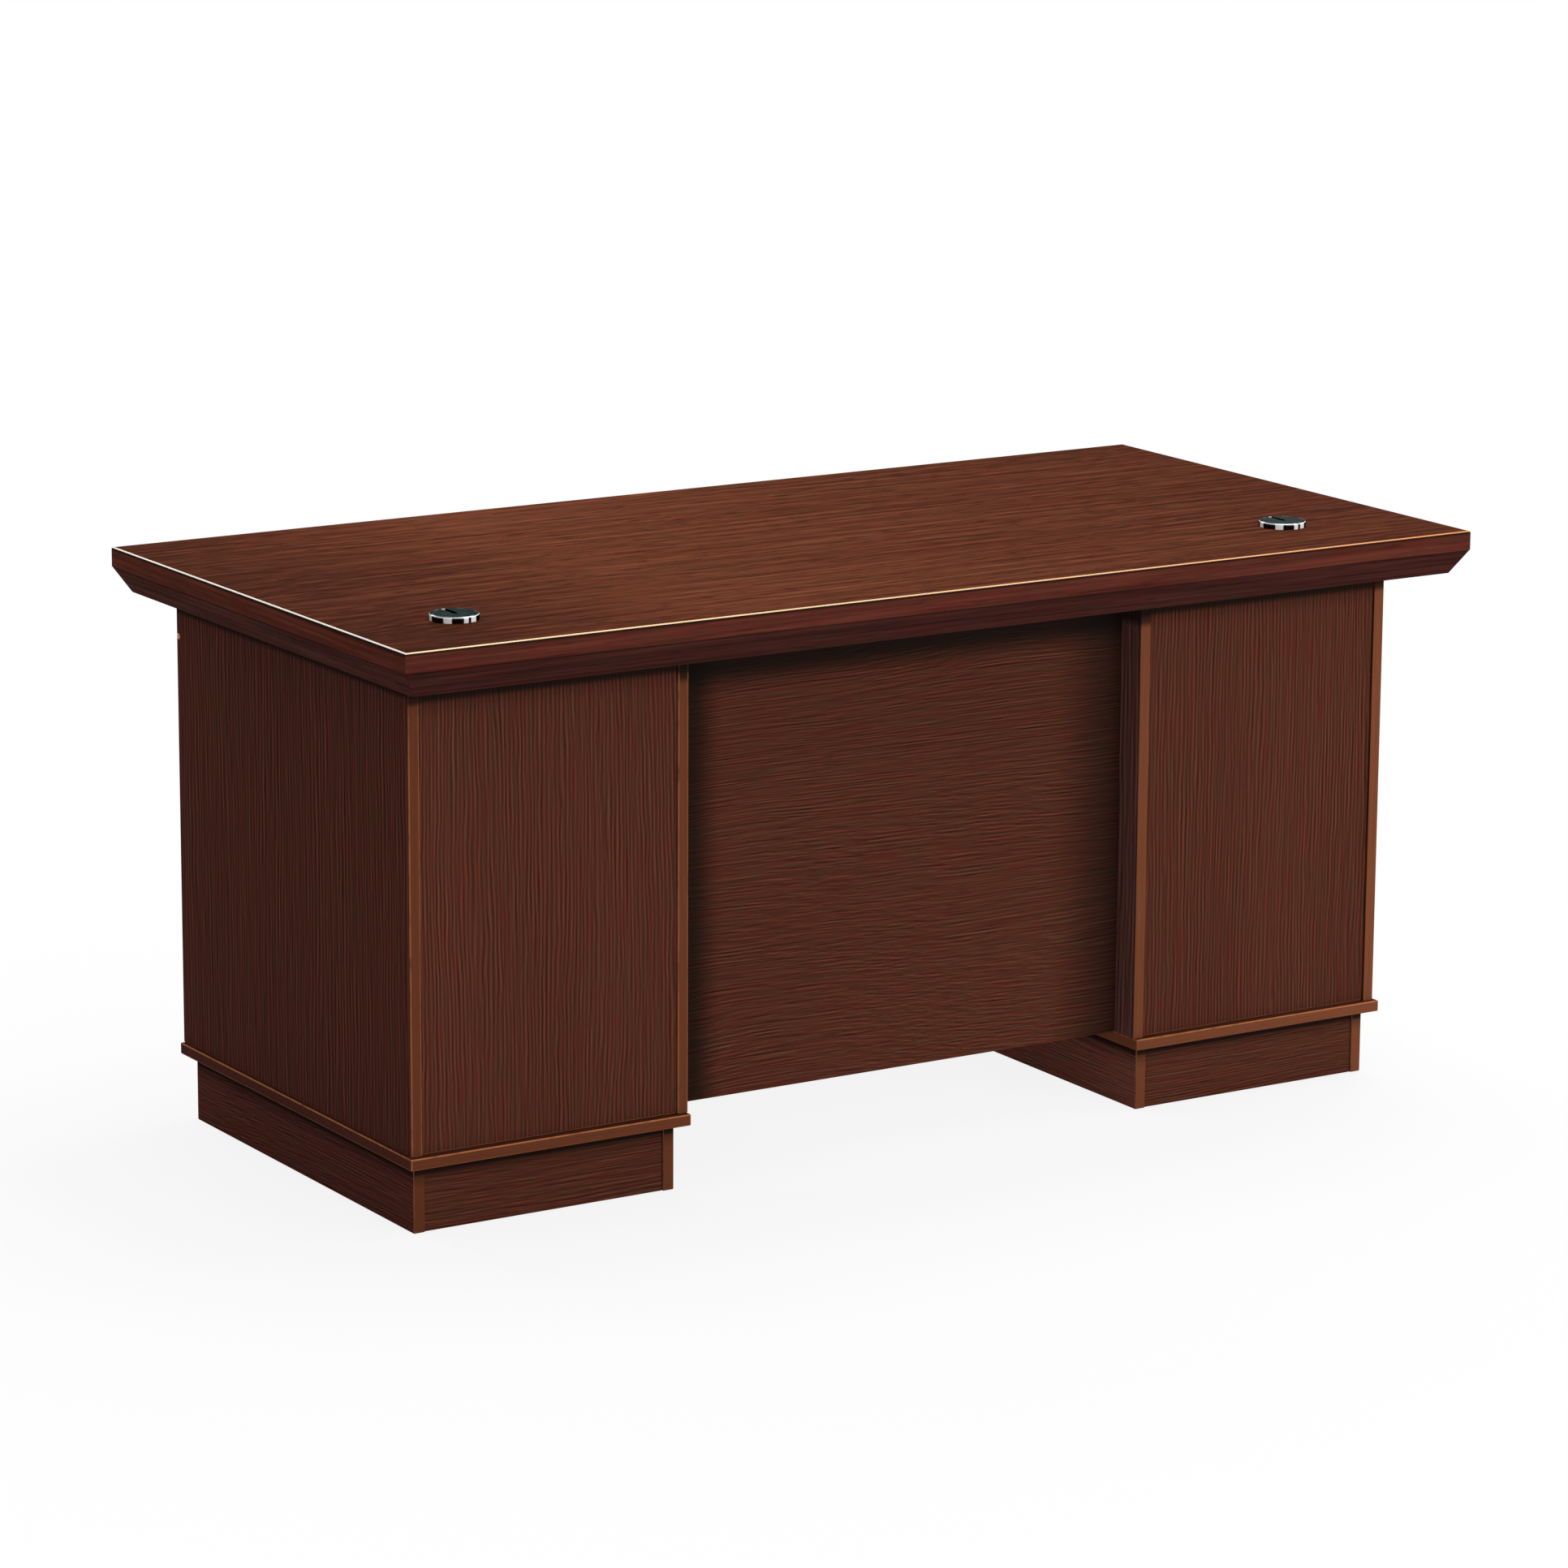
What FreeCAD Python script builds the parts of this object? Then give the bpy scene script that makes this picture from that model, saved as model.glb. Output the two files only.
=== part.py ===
import FreeCAD, Part
import math
import os
import re
import Sketcher

# Office desk on two pedestals. X runs along the desk, visitors sit at -Y and the user at +Y.
# The origin is on the floor under the middle of the top.

# Driving sizes in millimetres
SIZES = {
    # top with its bevelled edge strips
    "desk_length": 1600,
    "desk_depth": 800,
    "desk_height": 760,
    "top_thickness": 26,
    "top_edge_round": 3,
    "strip_height": 32,
    "strip_clearance": 10,
    "strip_bevel": 19,
    # pedestal boards
    "side_overhang": 60,
    "visitor_overhang": 106,
    "user_overhang": 64,
    "pedestal_width": 396,
    "board_thickness": 15,
    "visitor_panel_recess": 4,
    "bottom_lip_outer": 5,
    "bottom_lip_visitor": 8,
    "plinth_height": 87,
    "plinth_side_inset": 14,
    "plinth_end_inset": 20,
    "plinth_end_recess": 3,
    "fascia_drop": 8,
    "top_rail_depth": 80,
    "cable_way": 100,
    "cable_hole_diameter": 50,
    "cable_hole_rise": 150,
    "cable_hole_margin": 6,
    # modesty panel with its angle brackets
    "modesty_recess": 43,
    "bracket_leg": 40,
    "bracket_width": 30,
    "bracket_steel": 2,
    "bracket_margin": 80,
    # cable outlets in the top
    "left_outlet_inset": 152,
    "right_outlet_inset": 194,
    "outlet_visitor_inset": 156,
    "outlet_hole_diameter": 54,
    "outlet_lip": 4,
    "outlet_rebate": 1,
    "outlet_flange_height": 8,
    "outlet_flange_round": 2.5,
    "outlet_wall": 3.9,
    "outlet_rim": 3,
    "lid_thickness": 3.5,
    "lid_gap": 0.3,
    "lid_slot_width": 7,
    "lid_slot_reach": 34,
    # drawers
    "front_thickness": 18,
    "front_gap": 2.5,
    "drawer_front_height": 150,
    "drawer_rear_gap": 13,
    "drawer_wall": 12,
    "drawer_wall_lift": 12,
    "drawer_wall_drop": 28,
    "drawer_bottom": 5,
    "drawer_bottom_lift": 10,
    "drawer_groove": 5,
    # two-part steel slides
    "slide_room": 12.7,
    "slide_setback": 6,
    "slide_rear_margin": 24,
    "slide_height": 35,
    "slide_lift": 20,
    "slide_steel": 1.2,
    "slide_tip_gap": 2,
    "slide_gap": 0.4,
    # bow handles
    "handle_span": 128,
    "handle_reach": 28,
    "handle_bar": 10,
    "handle_bend": 16,
    "door_handle_inset": 35,
    "door_handle_drop": 40,
    # cupboard with its shelf
    "shelf_rise": 190,
    "shelf_setback": 25,
    "shelf_side_gap": 0.8,
    "shelf_pin_diameter": 5,
    "shelf_pin_depth": 8,
    "shelf_pin_reach": 9,
    "shelf_pin_inset": 60,
    # butt hinges of the door
    "hinge_height": 60,
    "hinge_inset": 50,
    "hinge_leaf_gap": 0.5,
    "hinge_leaf_margin": 2,
    "hinge_knuckle_diameter": 8,
    "hinge_pin_diameter": 4,
    "hinge_pin_gap": 0.05,
    "hinge_gap": 0.4,
    # screws under the top and the cap on the left side
    "screw_diameter": 4,
    "screw_head_diameter": 8,
    "screw_head_height": 2.5,
    "screw_bite": 16,
    "screw_inset": 60,
    "fit_gap": 0.1,
    "cap_diameter": 8,
    "cap_rise": 1.6,
    "cap_edge_inset": 6,
    "cap_drop": 86,
    # how far every cutting shape runs past what it cuts
    "overrun": 5,
}

# Places that several pieces share, as formulas in the driving sizes
UNDERSIDE = "(desk_height - top_thickness)"
VISITOR_EDGE = "(visitor_overhang - desk_depth / 2)"
USER_EDGE = "(desk_depth / 2 - user_overhang)"
OUTER_FACE = "(desk_length / 2 - side_overhang)"
STRIP_WIDTH = "(min(side_overhang; user_overhang; visitor_overhang) - strip_clearance)"
INNER_FACE = f"({OUTER_FACE} - pedestal_width)"
BAY_NEAR = f"({INNER_FACE} + board_thickness)"
BAY_FAR = f"({OUTER_FACE} - board_thickness)"
BAY_WIDTH = "(pedestal_width - 2 * board_thickness)"
BAY_FLOOR = "(plinth_height + board_thickness)"
BAY_END = f"({VISITOR_EDGE} + visitor_panel_recess + board_thickness)"
SIDE_HEIGHT = f"({UNDERSIDE} - {BAY_FLOOR})"
FRONT_BACK = f"({USER_EDGE} - front_thickness)"
FRONT_NEAR = f"({BAY_NEAR} + front_gap)"
FRONT_FAR = f"({BAY_FAR} - front_gap)"
FRONT_WIDTH = f"({BAY_WIDTH} - 2 * front_gap)"
FASCIA_HEIGHT = "(strip_height + fascia_drop)"
FRONT_TOP = f"({UNDERSIDE} - {FASCIA_HEIGHT} - front_gap)"
FRONT_STEP = "(drawer_front_height + front_gap)"
CABLE_EDGE = f"({BAY_END} + cable_way)"
DRAWER_REAR = f"({CABLE_EDGE} + drawer_rear_gap)"
DRAWER_DEPTH = f"({FRONT_BACK} - {DRAWER_REAR})"
SLIDE_BACK = f"({DRAWER_REAR} + slide_rear_margin)"
SLIDE_LENGTH = f"({FRONT_BACK} - slide_setback - {SLIDE_BACK})"
SLIDE_OFFSET = "(slide_steel + slide_tip_gap)"
SLIDE_NEST = f"(slide_room - {SLIDE_OFFSET})"
MODESTY_BACK = f"({VISITOR_EDGE} + modesty_recess + board_thickness)"
OUTLET_X = {
    "left": "(left_outlet_inset - desk_length / 2)",
    "right": "(desk_length / 2 - right_outlet_inset)",
}
OUTLET_Y = "(outlet_visitor_inset - desk_depth / 2)"
FLANGE_RADIUS = "(outlet_hole_diameter / 2 + outlet_lip)"
DIVIDER_TOP = f"({FRONT_TOP} - {FRONT_STEP})"
DOOR_TOP = f"({DIVIDER_TOP} - board_thickness - front_gap)"
DOOR_BOTTOM = f"({BAY_FLOOR} + front_gap)"
HINGE_LEAF = "((front_gap - hinge_leaf_gap) / 2)"
HINGE_LEAF_WIDTH = "(front_thickness - hinge_leaf_margin)"
HINGE_X = f"({BAY_FAR} - front_gap / 2)"
HINGE_Y = f"({USER_EDGE} + hinge_knuckle_diameter / 2 + hinge_gap)"
SHELF_UNDERSIDE = f"({BAY_FLOOR} + shelf_rise)"
SHELF_USER_EDGE = f"({FRONT_BACK} - shelf_setback)"
RAIL_STARTS = (CABLE_EDGE, f"({FRONT_BACK} - top_rail_depth)")

# The most of an outlet's rim that its rounded edge takes up
RIM_ROUND_SHARE = 0.9

SIDES = ("left", "right")

# Each drawer's pedestal, the top of its front and the height of its front
DRAWERS = {
    "left_upper_drawer": ("left", FRONT_TOP, "drawer_front_height"),
    "left_middle_drawer": ("left", f"({FRONT_TOP} - {FRONT_STEP})", "drawer_front_height"),
    "left_lower_drawer": (
        "left",
        f"({FRONT_TOP} - 2 * {FRONT_STEP})",
        f"({FRONT_TOP} - 2 * {FRONT_STEP} - {DOOR_BOTTOM})",
    ),
    "right_drawer": ("right", FRONT_TOP, "drawer_front_height"),
}

SIZE_WORD = re.compile(r"\b(" + "|".join(SIZES) + r")\b")
Y_AXIS = FreeCAD.Vector(0, 1, 0)
Z_AXIS = FreeCAD.Vector(0, 0, 1)
QUARTER_TURN = 90
TO_X = FreeCAD.Rotation(Y_AXIS, QUARTER_TURN)
TO_MINUS_X = FreeCAD.Rotation(Y_AXIS, -QUARTER_TURN)

doc = FreeCAD.newDocument("office_desk")
parts = {}


def make_sheet():
    """The sheet that holds every driving size under its own name."""
    sheet = doc.addObject("Spreadsheet::Sheet", "sizes")
    for row, (name, value) in enumerate(SIZES.items(), start=1):
        sheet.set(f"A{row}", name)
        sheet.set(f"B{row}", str(value))
        sheet.setAlias(f"B{row}", name)
    doc.recompute()


def bind(item, path, formula):
    """Ties one property of an item to a formula in the driving sizes."""
    item.setExpression(path, SIZE_WORD.sub(r"sizes.\1", formula))


def place(item, corner):
    """Ties an item's place to three formulas."""
    for axis, formula in zip("xyz", corner):
        bind(item, f"Placement.Base.{axis}", formula)


def part(label, item):
    """Names an item as one sub-part of the desk."""
    item.Label = label
    parts[label] = item
    return item


def block(name, corner, size):
    """Rectangular board with its lowest corner and its three lengths."""
    item = doc.addObject("Part::Box", name)
    place(item, corner)
    for edge, formula in zip(("Length", "Width", "Height"), size):
        bind(item, edge, formula)
    return item


def rod(name, start, diameter, length, turn=None):
    """Round bar from the middle of its first end, along Z unless it is turned."""
    item = doc.addObject("Part::Cylinder", name)
    if turn:
        item.Placement.Rotation = turn
    place(item, start)
    bind(item, "Radius", f"({diameter}) / 2")
    bind(item, "Height", length)
    return item


def cut(name, base, tools):
    """A base with every tool taken out of it."""
    for count, tool in enumerate(tools):
        result = doc.addObject("Part::Cut", f"{name}_cut_{count}")
        result.Base = base
        result.Tool = tool
        base = result
    return base


def fuse(name, items):
    """Several shapes grown into one piece."""
    result = doc.addObject("Part::MultiFuse", name)
    result.Shapes = items
    result.Refine = True
    return result


def group(name, items):
    """Several separate pieces of one kind."""
    result = doc.addObject("Part::Compound", name)
    result.Links = items
    return result


def across(side, near, far):
    """Lower X of a span from near to far off the middle of the desk, on one side."""
    return near if side == "right" else f"-({far})"


def out(side, distance):
    """X at a distance off the middle of the desk, on one side."""
    return distance if side == "right" else f"-({distance})"


def sketch_on(body, name, role):
    """Empty sketch on one of the body's own planes."""
    sketch = body.newObject("Sketcher::SketchObject", name)
    plane = next(item for item in body.Origin.OriginFeatures if item.Role == role)
    sketch.AttachmentSupport = [(plane, "")]
    sketch.MapMode = "FlatFace"
    return sketch


def outline(body, name, role, points):
    """Closed outline with straight edges, each corner held by its two formulas."""
    sketch = sketch_on(body, name, role)
    count = len(points)
    ring = [math.tau * index / count for index in range(count)]
    corners = [FreeCAD.Vector(math.cos(angle), math.sin(angle), 0) for angle in ring]
    for index in range(count):
        sketch.addGeometry(Part.LineSegment(corners[index - 1], corners[index]))
    for index in range(count):
        before = (index - 1) % count
        sketch.addConstraint(Sketcher.Constraint("Coincident", before, 2, index, 1))
    for index, (across_formula, up_formula) in enumerate(points):
        for kind, axis, formula in (("DistanceX", -2, across_formula), ("DistanceY", -1, up_formula)):
            if formula == "0":
                sketch.addConstraint(Sketcher.Constraint("PointOnObject", index, 1, axis))
            else:
                held = sketch.addConstraint(Sketcher.Constraint(kind, -1, 1, index, 1, 1))
                bind(sketch, f"Constraints[{held}]", formula)
    return sketch


def top_edges(shape):
    """Names of the edges in a shape's highest plane, the longest one last."""
    height = max(vertex.Z for vertex in shape.Vertexes)
    edges = sorted(enumerate(shape.Edges, start=1), key=lambda pair: pair[1].Length)
    return [
        f"Edge{number}" for number, edge in edges
        if all(abs(vertex.Z - height) < Part.Precision.confusion() for vertex in edge.Vertexes)
    ]


def edge_strip(label, length, corner, turns):
    """Strip under the edge of the top, its outer face bevelled inwards and its ends mitred."""
    body = doc.addObject("PartDesign::Body", label)
    inner = ((f"{length} - {STRIP_WIDTH}", STRIP_WIDTH), (STRIP_WIDTH, STRIP_WIDTH))
    low = (("strip_bevel", "strip_bevel"), (f"{length} - strip_bevel", "strip_bevel")) + inner
    high = (("0", "0"), (length, "0")) + inner
    lower = outline(body, f"{label}_lower", "XY_Plane", low)
    upper = outline(body, f"{label}_upper", "XY_Plane", high)
    bind(upper, "AttachmentOffset.Base.z", "strip_height")
    loft = body.newObject("PartDesign::AdditiveLoft", f"{label}_loft")
    loft.Profile = lower
    loft.Sections = [upper]
    loft.Ruled = True
    body.Placement.Rotation = FreeCAD.Rotation(Z_AXIS, turns * QUARTER_TURN)
    place(body, (*corner, f"{UNDERSIDE} - strip_height"))
    part(label, body)


def edge_strips():
    """The four strips that thicken the edge of the top."""
    right, rear = "desk_length / 2", "desk_depth / 2"
    left, front = "-desk_length / 2", "-desk_depth / 2"
    edge_strip("edge_strip_visitor", "desk_length", (left, front), 0)
    edge_strip("edge_strip_right", "desk_depth", (right, front), 1)
    edge_strip("edge_strip_user", "desk_length", (right, rear), 2)
    edge_strip("edge_strip_left", "desk_depth", (left, rear), 3)


def screw_places():
    """Where each screw stands in the flat rails of both pedestals."""
    for side in SIDES:
        for start in RAIL_STARTS:
            for distance in (f"{BAY_NEAR} + screw_inset", f"{BAY_FAR} - screw_inset"):
                yield out(side, distance), f"{start} + top_rail_depth / 2"


def top_board():
    """Board of the top with an eased upper edge, rebated outlet holes and pilot holes."""
    body = doc.addObject("PartDesign::Body", "top_slab")
    corners = (("0", "0"), ("desk_length", "0"), ("desk_length", "desk_depth"), ("0", "desk_depth"))
    sketch = outline(body, "top_outline", "XY_Plane", corners)
    pad = body.newObject("PartDesign::Pad", "top_pad")
    pad.Profile = sketch
    bind(pad, "Length", "top_thickness")
    doc.recompute()
    ease = body.newObject("PartDesign::Fillet", "top_ease")
    ease.Base = (pad, top_edges(pad.Shape))
    bind(ease, "Radius", "top_edge_round")
    place(body, ("-desk_length / 2", "-desk_depth / 2", UNDERSIDE))
    low = f"{UNDERSIDE} - overrun"
    holes = [
        rod(f"{side}_outlet_hole", (OUTLET_X[side], OUTLET_Y, low), "outlet_hole_diameter",
            "top_thickness + 2 * overrun")
        for side in SIDES
    ]
    holes += [
        rod(f"{side}_outlet_rebate", (OUTLET_X[side], OUTLET_Y, "desk_height - outlet_rebate"),
            f"2 * ({FLANGE_RADIUS} + fit_gap)", "outlet_rebate + overrun")
        for side in SIDES
    ]
    holes += [
        rod(f"pilot_hole_{count}", (x, y, low), "screw_diameter + 2 * fit_gap",
            "overrun + screw_bite + fit_gap")
        for count, (x, y) in enumerate(screw_places())
    ]
    part("top_board", cut("top", body, [group("top_holes", holes)]))


def top_screws():
    """Screws that hold the top from below, heads against the rails."""
    screws = []
    seat = f"{UNDERSIDE} - board_thickness"
    for count, (x, y) in enumerate(screw_places()):
        shank = rod(f"screw_shank_{count}", (x, y, seat), "screw_diameter", "board_thickness + screw_bite")
        head = rod(f"screw_head_{count}", (x, y, f"{seat} - screw_head_height"), "screw_head_diameter",
                   "screw_head_height")
        screws.append(fuse(f"screw_{count}", [head, shank]))
    part("top_screws", group("screws", screws))


def top_rails(side):
    """Flat rails across one pedestal, bored for the screws of the top."""
    rails = []
    for count, start in enumerate(RAIL_STARTS):
        low = f"{UNDERSIDE} - board_thickness"
        rail = block(f"{side}_rail_{count}", (across(side, BAY_NEAR, BAY_FAR), start, low),
                     (BAY_WIDTH, "top_rail_depth", "board_thickness"))
        bores = [
            rod(f"{side}_rail_{count}_bore_{end}",
                (out(side, distance), f"{start} + top_rail_depth / 2", f"{low} - overrun"),
                "screw_diameter + 2 * fit_gap", "board_thickness + 2 * overrun")
            for end, distance in enumerate((f"{BAY_NEAR} + screw_inset", f"{BAY_FAR} - screw_inset"))
        ]
        rails.append(cut(f"{side}_rail_{count}", rail, bores))
    part(f"{side}_top_rails", group(f"{side}_rails", rails))


def shelf_pin_places():
    """Depth of the two shelf pins on each side of the cupboard."""
    return f"{CABLE_EDGE} + shelf_pin_inset", f"{SHELF_USER_EDGE} - shelf_pin_inset"


def shelf_pin_holes(name, start, turn):
    """Blind holes for the shelf pins in one side panel of the cupboard."""
    return [
        rod(f"{name}_pin_hole_{count}", (start, y, f"{SHELF_UNDERSIDE} - shelf_pin_diameter / 2"),
            "shelf_pin_diameter + 2 * fit_gap", "overrun + shelf_pin_depth + fit_gap", turn)
        for count, y in enumerate(shelf_pin_places())
    ]


def side_panels(side):
    """Outer and inner side of one pedestal, the inner one with a hole for cables."""
    size = ("board_thickness", f"{USER_EDGE} - {VISITOR_EDGE}", SIDE_HEIGHT)
    outer = block(f"{side}_outer_board", (across(side, BAY_FAR, OUTER_FACE), VISITOR_EDGE, BAY_FLOOR), size)
    inner = block(f"{side}_inner_board", (across(side, INNER_FACE, BAY_NEAR), VISITOR_EDGE, BAY_FLOOR), size)
    start = across(side, f"{INNER_FACE} - overrun", f"{BAY_NEAR} + overrun")
    hole_y = f"{MODESTY_BACK} + cable_hole_margin + cable_hole_diameter / 2"
    hole = rod(f"{side}_cable_hole", (start, hole_y, f"{BAY_FLOOR} + cable_hole_rise"),
               "cable_hole_diameter", "board_thickness + 2 * overrun", TO_X)
    inner_holes = [hole]
    if side == "right":
        outer_holes = shelf_pin_holes("outer", f"{BAY_FAR} - overrun", TO_X)
        outer = cut("right_outer", outer, outer_holes)
        inner_holes += shelf_pin_holes("inner", f"{BAY_NEAR} + overrun", TO_MINUS_X)
    part(f"{side}_outer_side", outer)
    part(f"{side}_inner_side", cut(f"{side}_inner", inner, inner_holes))


def pedestal_boards(side):
    """Bottom, visitor panel and fascia of one pedestal."""
    bottom_x = across(side, INNER_FACE, f"{OUTER_FACE} + bottom_lip_outer")
    bottom_y = f"{VISITOR_EDGE} - bottom_lip_visitor"
    part(f"{side}_bottom_board", block(
        f"{side}_bottom", (bottom_x, bottom_y, "plinth_height"),
        ("pedestal_width + bottom_lip_outer", f"{USER_EDGE} - ({bottom_y})", "board_thickness")))
    part(f"{side}_visitor_panel", block(
        f"{side}_visitor", (across(side, BAY_NEAR, BAY_FAR), f"{BAY_END} - board_thickness", BAY_FLOOR),
        (BAY_WIDTH, "board_thickness", SIDE_HEIGHT)))
    fascia_corner = (across(side, BAY_NEAR, BAY_FAR), FRONT_BACK, f"{UNDERSIDE} - {FASCIA_HEIGHT}")
    part(f"{side}_fascia", block(
        f"{side}_fascia_rail", fascia_corner, (BAY_WIDTH, "front_thickness", FASCIA_HEIGHT)))


def plinth(side):
    """Four boards on the floor, the end boards set back between the side boards."""
    near = f"({INNER_FACE} + plinth_side_inset)"
    far = f"({OUTER_FACE} + bottom_lip_outer - plinth_side_inset)"
    visitor = f"({VISITOR_EDGE} - bottom_lip_visitor + plinth_end_inset)"
    user = f"({USER_EDGE} - plinth_end_inset)"
    side_size = ("board_thickness", f"{user} - {visitor}", "plinth_height")
    end_size = (f"{far} - {near} - 2 * board_thickness", "board_thickness", "plinth_height")
    spans = ((near, f"{near} + board_thickness"), (f"{far} - board_thickness", far))
    part(f"{side}_plinth_sides", group(f"{side}_plinth_long", [
        block(f"{side}_plinth_long_{count}", (across(side, *span), visitor, "0"), side_size)
        for count, span in enumerate(spans)
    ]))
    start = across(side, f"{near} + board_thickness", f"{far} - board_thickness")
    ends = (f"{visitor} + plinth_end_recess", f"{user} - plinth_end_recess - board_thickness")
    part(f"{side}_plinth_ends", group(f"{side}_plinth_short", [
        block(f"{side}_plinth_short_{count}", (start, y, "0"), end_size) for count, y in enumerate(ends)
    ]))


def modesty():
    """Panel across the kneehole and the four angle brackets behind it."""
    part("modesty_panel", block(
        "modesty_board", (f"-{INNER_FACE}", f"{MODESTY_BACK} - board_thickness", BAY_FLOOR),
        (f"2 * {INNER_FACE}", "board_thickness", SIDE_HEIGHT)))
    brackets = []
    for side in SIDES:
        for level, low in (("lower", f"{BAY_FLOOR} + bracket_margin"),
                           ("upper", f"{UNDERSIDE} - bracket_margin - bracket_width")):
            name = f"{side}_{level}_bracket"
            start = across(side, f"{INNER_FACE} - bracket_leg", INNER_FACE)
            solid = block(name, (start, MODESTY_BACK, low), ("bracket_leg", "bracket_leg", "bracket_width"))
            clear = across(side, f"{INNER_FACE} - bracket_leg - overrun", f"{INNER_FACE} - bracket_steel")
            room = block(f"{name}_room", (clear, f"{MODESTY_BACK} + bracket_steel", f"{low} - overrun"),
                         ("bracket_leg - bracket_steel + overrun", "bracket_leg - bracket_steel + overrun",
                          "bracket_width + 2 * overrun"))
            brackets.append(cut(name, solid, [room]))
    part("modesty_brackets", group("brackets", brackets))


def outlet(side):
    """Ring let into the top and the slotted lid that turns in it."""
    sleeve = "(outlet_hole_diameter / 2 - fit_gap)"
    bore, recess = f"({sleeve} - outlet_wall)", f"({FLANGE_RADIUS} - outlet_rim)"
    seat, crown = "(top_thickness - outlet_rebate)", "(top_thickness + outlet_flange_height)"
    ledge = f"({crown} - lid_thickness - lid_gap)"
    profile = ((bore, "0"), (sleeve, "0"), (sleeve, seat), (FLANGE_RADIUS, seat),
               (FLANGE_RADIUS, crown), (recess, crown), (recess, ledge), (bore, ledge))
    body = doc.addObject("PartDesign::Body", f"{side}_outlet_body")
    sketch = outline(body, f"{side}_outlet_profile", "XZ_Plane", profile)
    turn = body.newObject("PartDesign::Revolution", f"{side}_outlet_turn")
    turn.Profile = sketch
    turn.ReferenceAxis = (sketch, ["V_Axis"])
    doc.recompute()
    ease = body.newObject("PartDesign::Fillet", f"{side}_outlet_ease")
    ease.Base = (turn, top_edges(turn.Shape)[-1:])
    bind(ease, "Radius", f"min(outlet_flange_round; {RIM_ROUND_SHARE} * outlet_rim)")
    place(body, (OUTLET_X[side], OUTLET_Y, UNDERSIDE))
    part(f"{side}_outlet_ring", body)

    rim = f"({recess} - lid_gap)"
    disc = rod(f"{side}_lid_disc", ("0", "0", "0"), f"2 * {rim}", "lid_thickness")
    inmost = f"{rim} - lid_slot_reach + lid_slot_width / 2"
    tall = "lid_thickness + 2 * overrun"
    slot = block(f"{side}_lid_slot", ("-lid_slot_width / 2", inmost, "-overrun"),
                 ("lid_slot_width", f"2 * {rim}", tall))
    eye = rod(f"{side}_lid_slot_end", ("0", inmost, "-overrun"), "lid_slot_width", tall)
    lid = cut(f"{side}_lid", disc, [fuse(f"{side}_lid_opening", [slot, eye])])
    place(lid, (OUTLET_X[side], OUTLET_Y, "desk_height + outlet_flange_height - lid_thickness"))
    part(f"{side}_outlet_lid", lid)


def handle(label, start, turn=None):
    """Bow handle: one round bar bent out, along and back, its feet a span apart."""
    body = doc.addObject("PartDesign::Body", label)
    span, reach, bend = SIZES["handle_span"], SIZES["handle_reach"], SIZES["handle_bend"]
    path = sketch_on(body, f"{label}_path", "XY_Plane")
    points = [(0, 0), (0, reach - bend), (bend, reach), (span - bend, reach), (span, reach - bend), (span, 0)]
    foot, rise, crown, fall, drop, far = [FreeCAD.Vector(x, y, 0) for x, y in points]
    right_angle = math.radians(QUARTER_TURN)
    first = Part.Circle(FreeCAD.Vector(bend, reach - bend, 0), Z_AXIS, bend)
    second = Part.Circle(FreeCAD.Vector(span - bend, reach - bend, 0), Z_AXIS, bend)
    path.addGeometry([
        Part.LineSegment(foot, rise),
        Part.ArcOfCircle(first, right_angle, 2 * right_angle),
        Part.LineSegment(crown, fall),
        Part.ArcOfCircle(second, 0, right_angle),
        Part.LineSegment(drop, far),
    ])
    path.addConstraint([
        Sketcher.Constraint("Coincident", 0, 1, -1, 1),
        Sketcher.Constraint("Tangent", 0, 2, 1, 2),
        Sketcher.Constraint("Tangent", 1, 1, 2, 1),
        Sketcher.Constraint("Tangent", 2, 2, 3, 2),
        Sketcher.Constraint("Tangent", 3, 1, 4, 1),
        Sketcher.Constraint("Vertical", 0),
        Sketcher.Constraint("Vertical", 4),
        Sketcher.Constraint("PointOnObject", 4, 2, -1),
        Sketcher.Constraint("Equal", 1, 3),
    ])
    for kind, ends, value, formula in (
        ("Radius", (1,), bend, "handle_bend"),
        ("DistanceX", (-1, 1, 4, 2), span, "handle_span"),
        ("DistanceY", (-1, 1, 2, 1), reach, "handle_reach"),
    ):
        held = path.addConstraint(Sketcher.Constraint(kind, *ends, value))
        bind(path, f"Constraints[{held}]", formula)
    ring = sketch_on(body, f"{label}_section", "XZ_Plane")
    ring.addGeometry(Part.Circle(FreeCAD.Vector(0, 0, 0), Z_AXIS, SIZES["handle_bar"] / 2))
    ring.addConstraint(Sketcher.Constraint("Coincident", 0, 3, -1, 1))
    held = ring.addConstraint(Sketcher.Constraint("Diameter", 0, SIZES["handle_bar"]))
    bind(ring, f"Constraints[{held}]", "handle_bar")
    pipe = body.newObject("PartDesign::AdditivePipe", f"{label}_pipe")
    pipe.Profile = ring
    pipe.Spine = (path, [])
    if turn:
        body.Placement.Rotation = turn
    place(body, start)
    part(label, body)


def steel_trough(name, corner, size, open_far):
    """Folded steel section: a web and two flanges, open towards one side."""
    x, y, z = corner
    depth, length, height = size
    solid = block(f"{name}_solid", corner, size)
    inside = f"({x}) + slide_steel" if open_far else f"({x}) - overrun"
    room = block(f"{name}_room", (inside, f"({y}) - overrun", f"({z}) + slide_steel"),
                 (f"{depth} - slide_steel + overrun", f"{length} + 2 * overrun",
                  f"{height} - 2 * slide_steel"))
    return cut(name, solid, [room])


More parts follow.
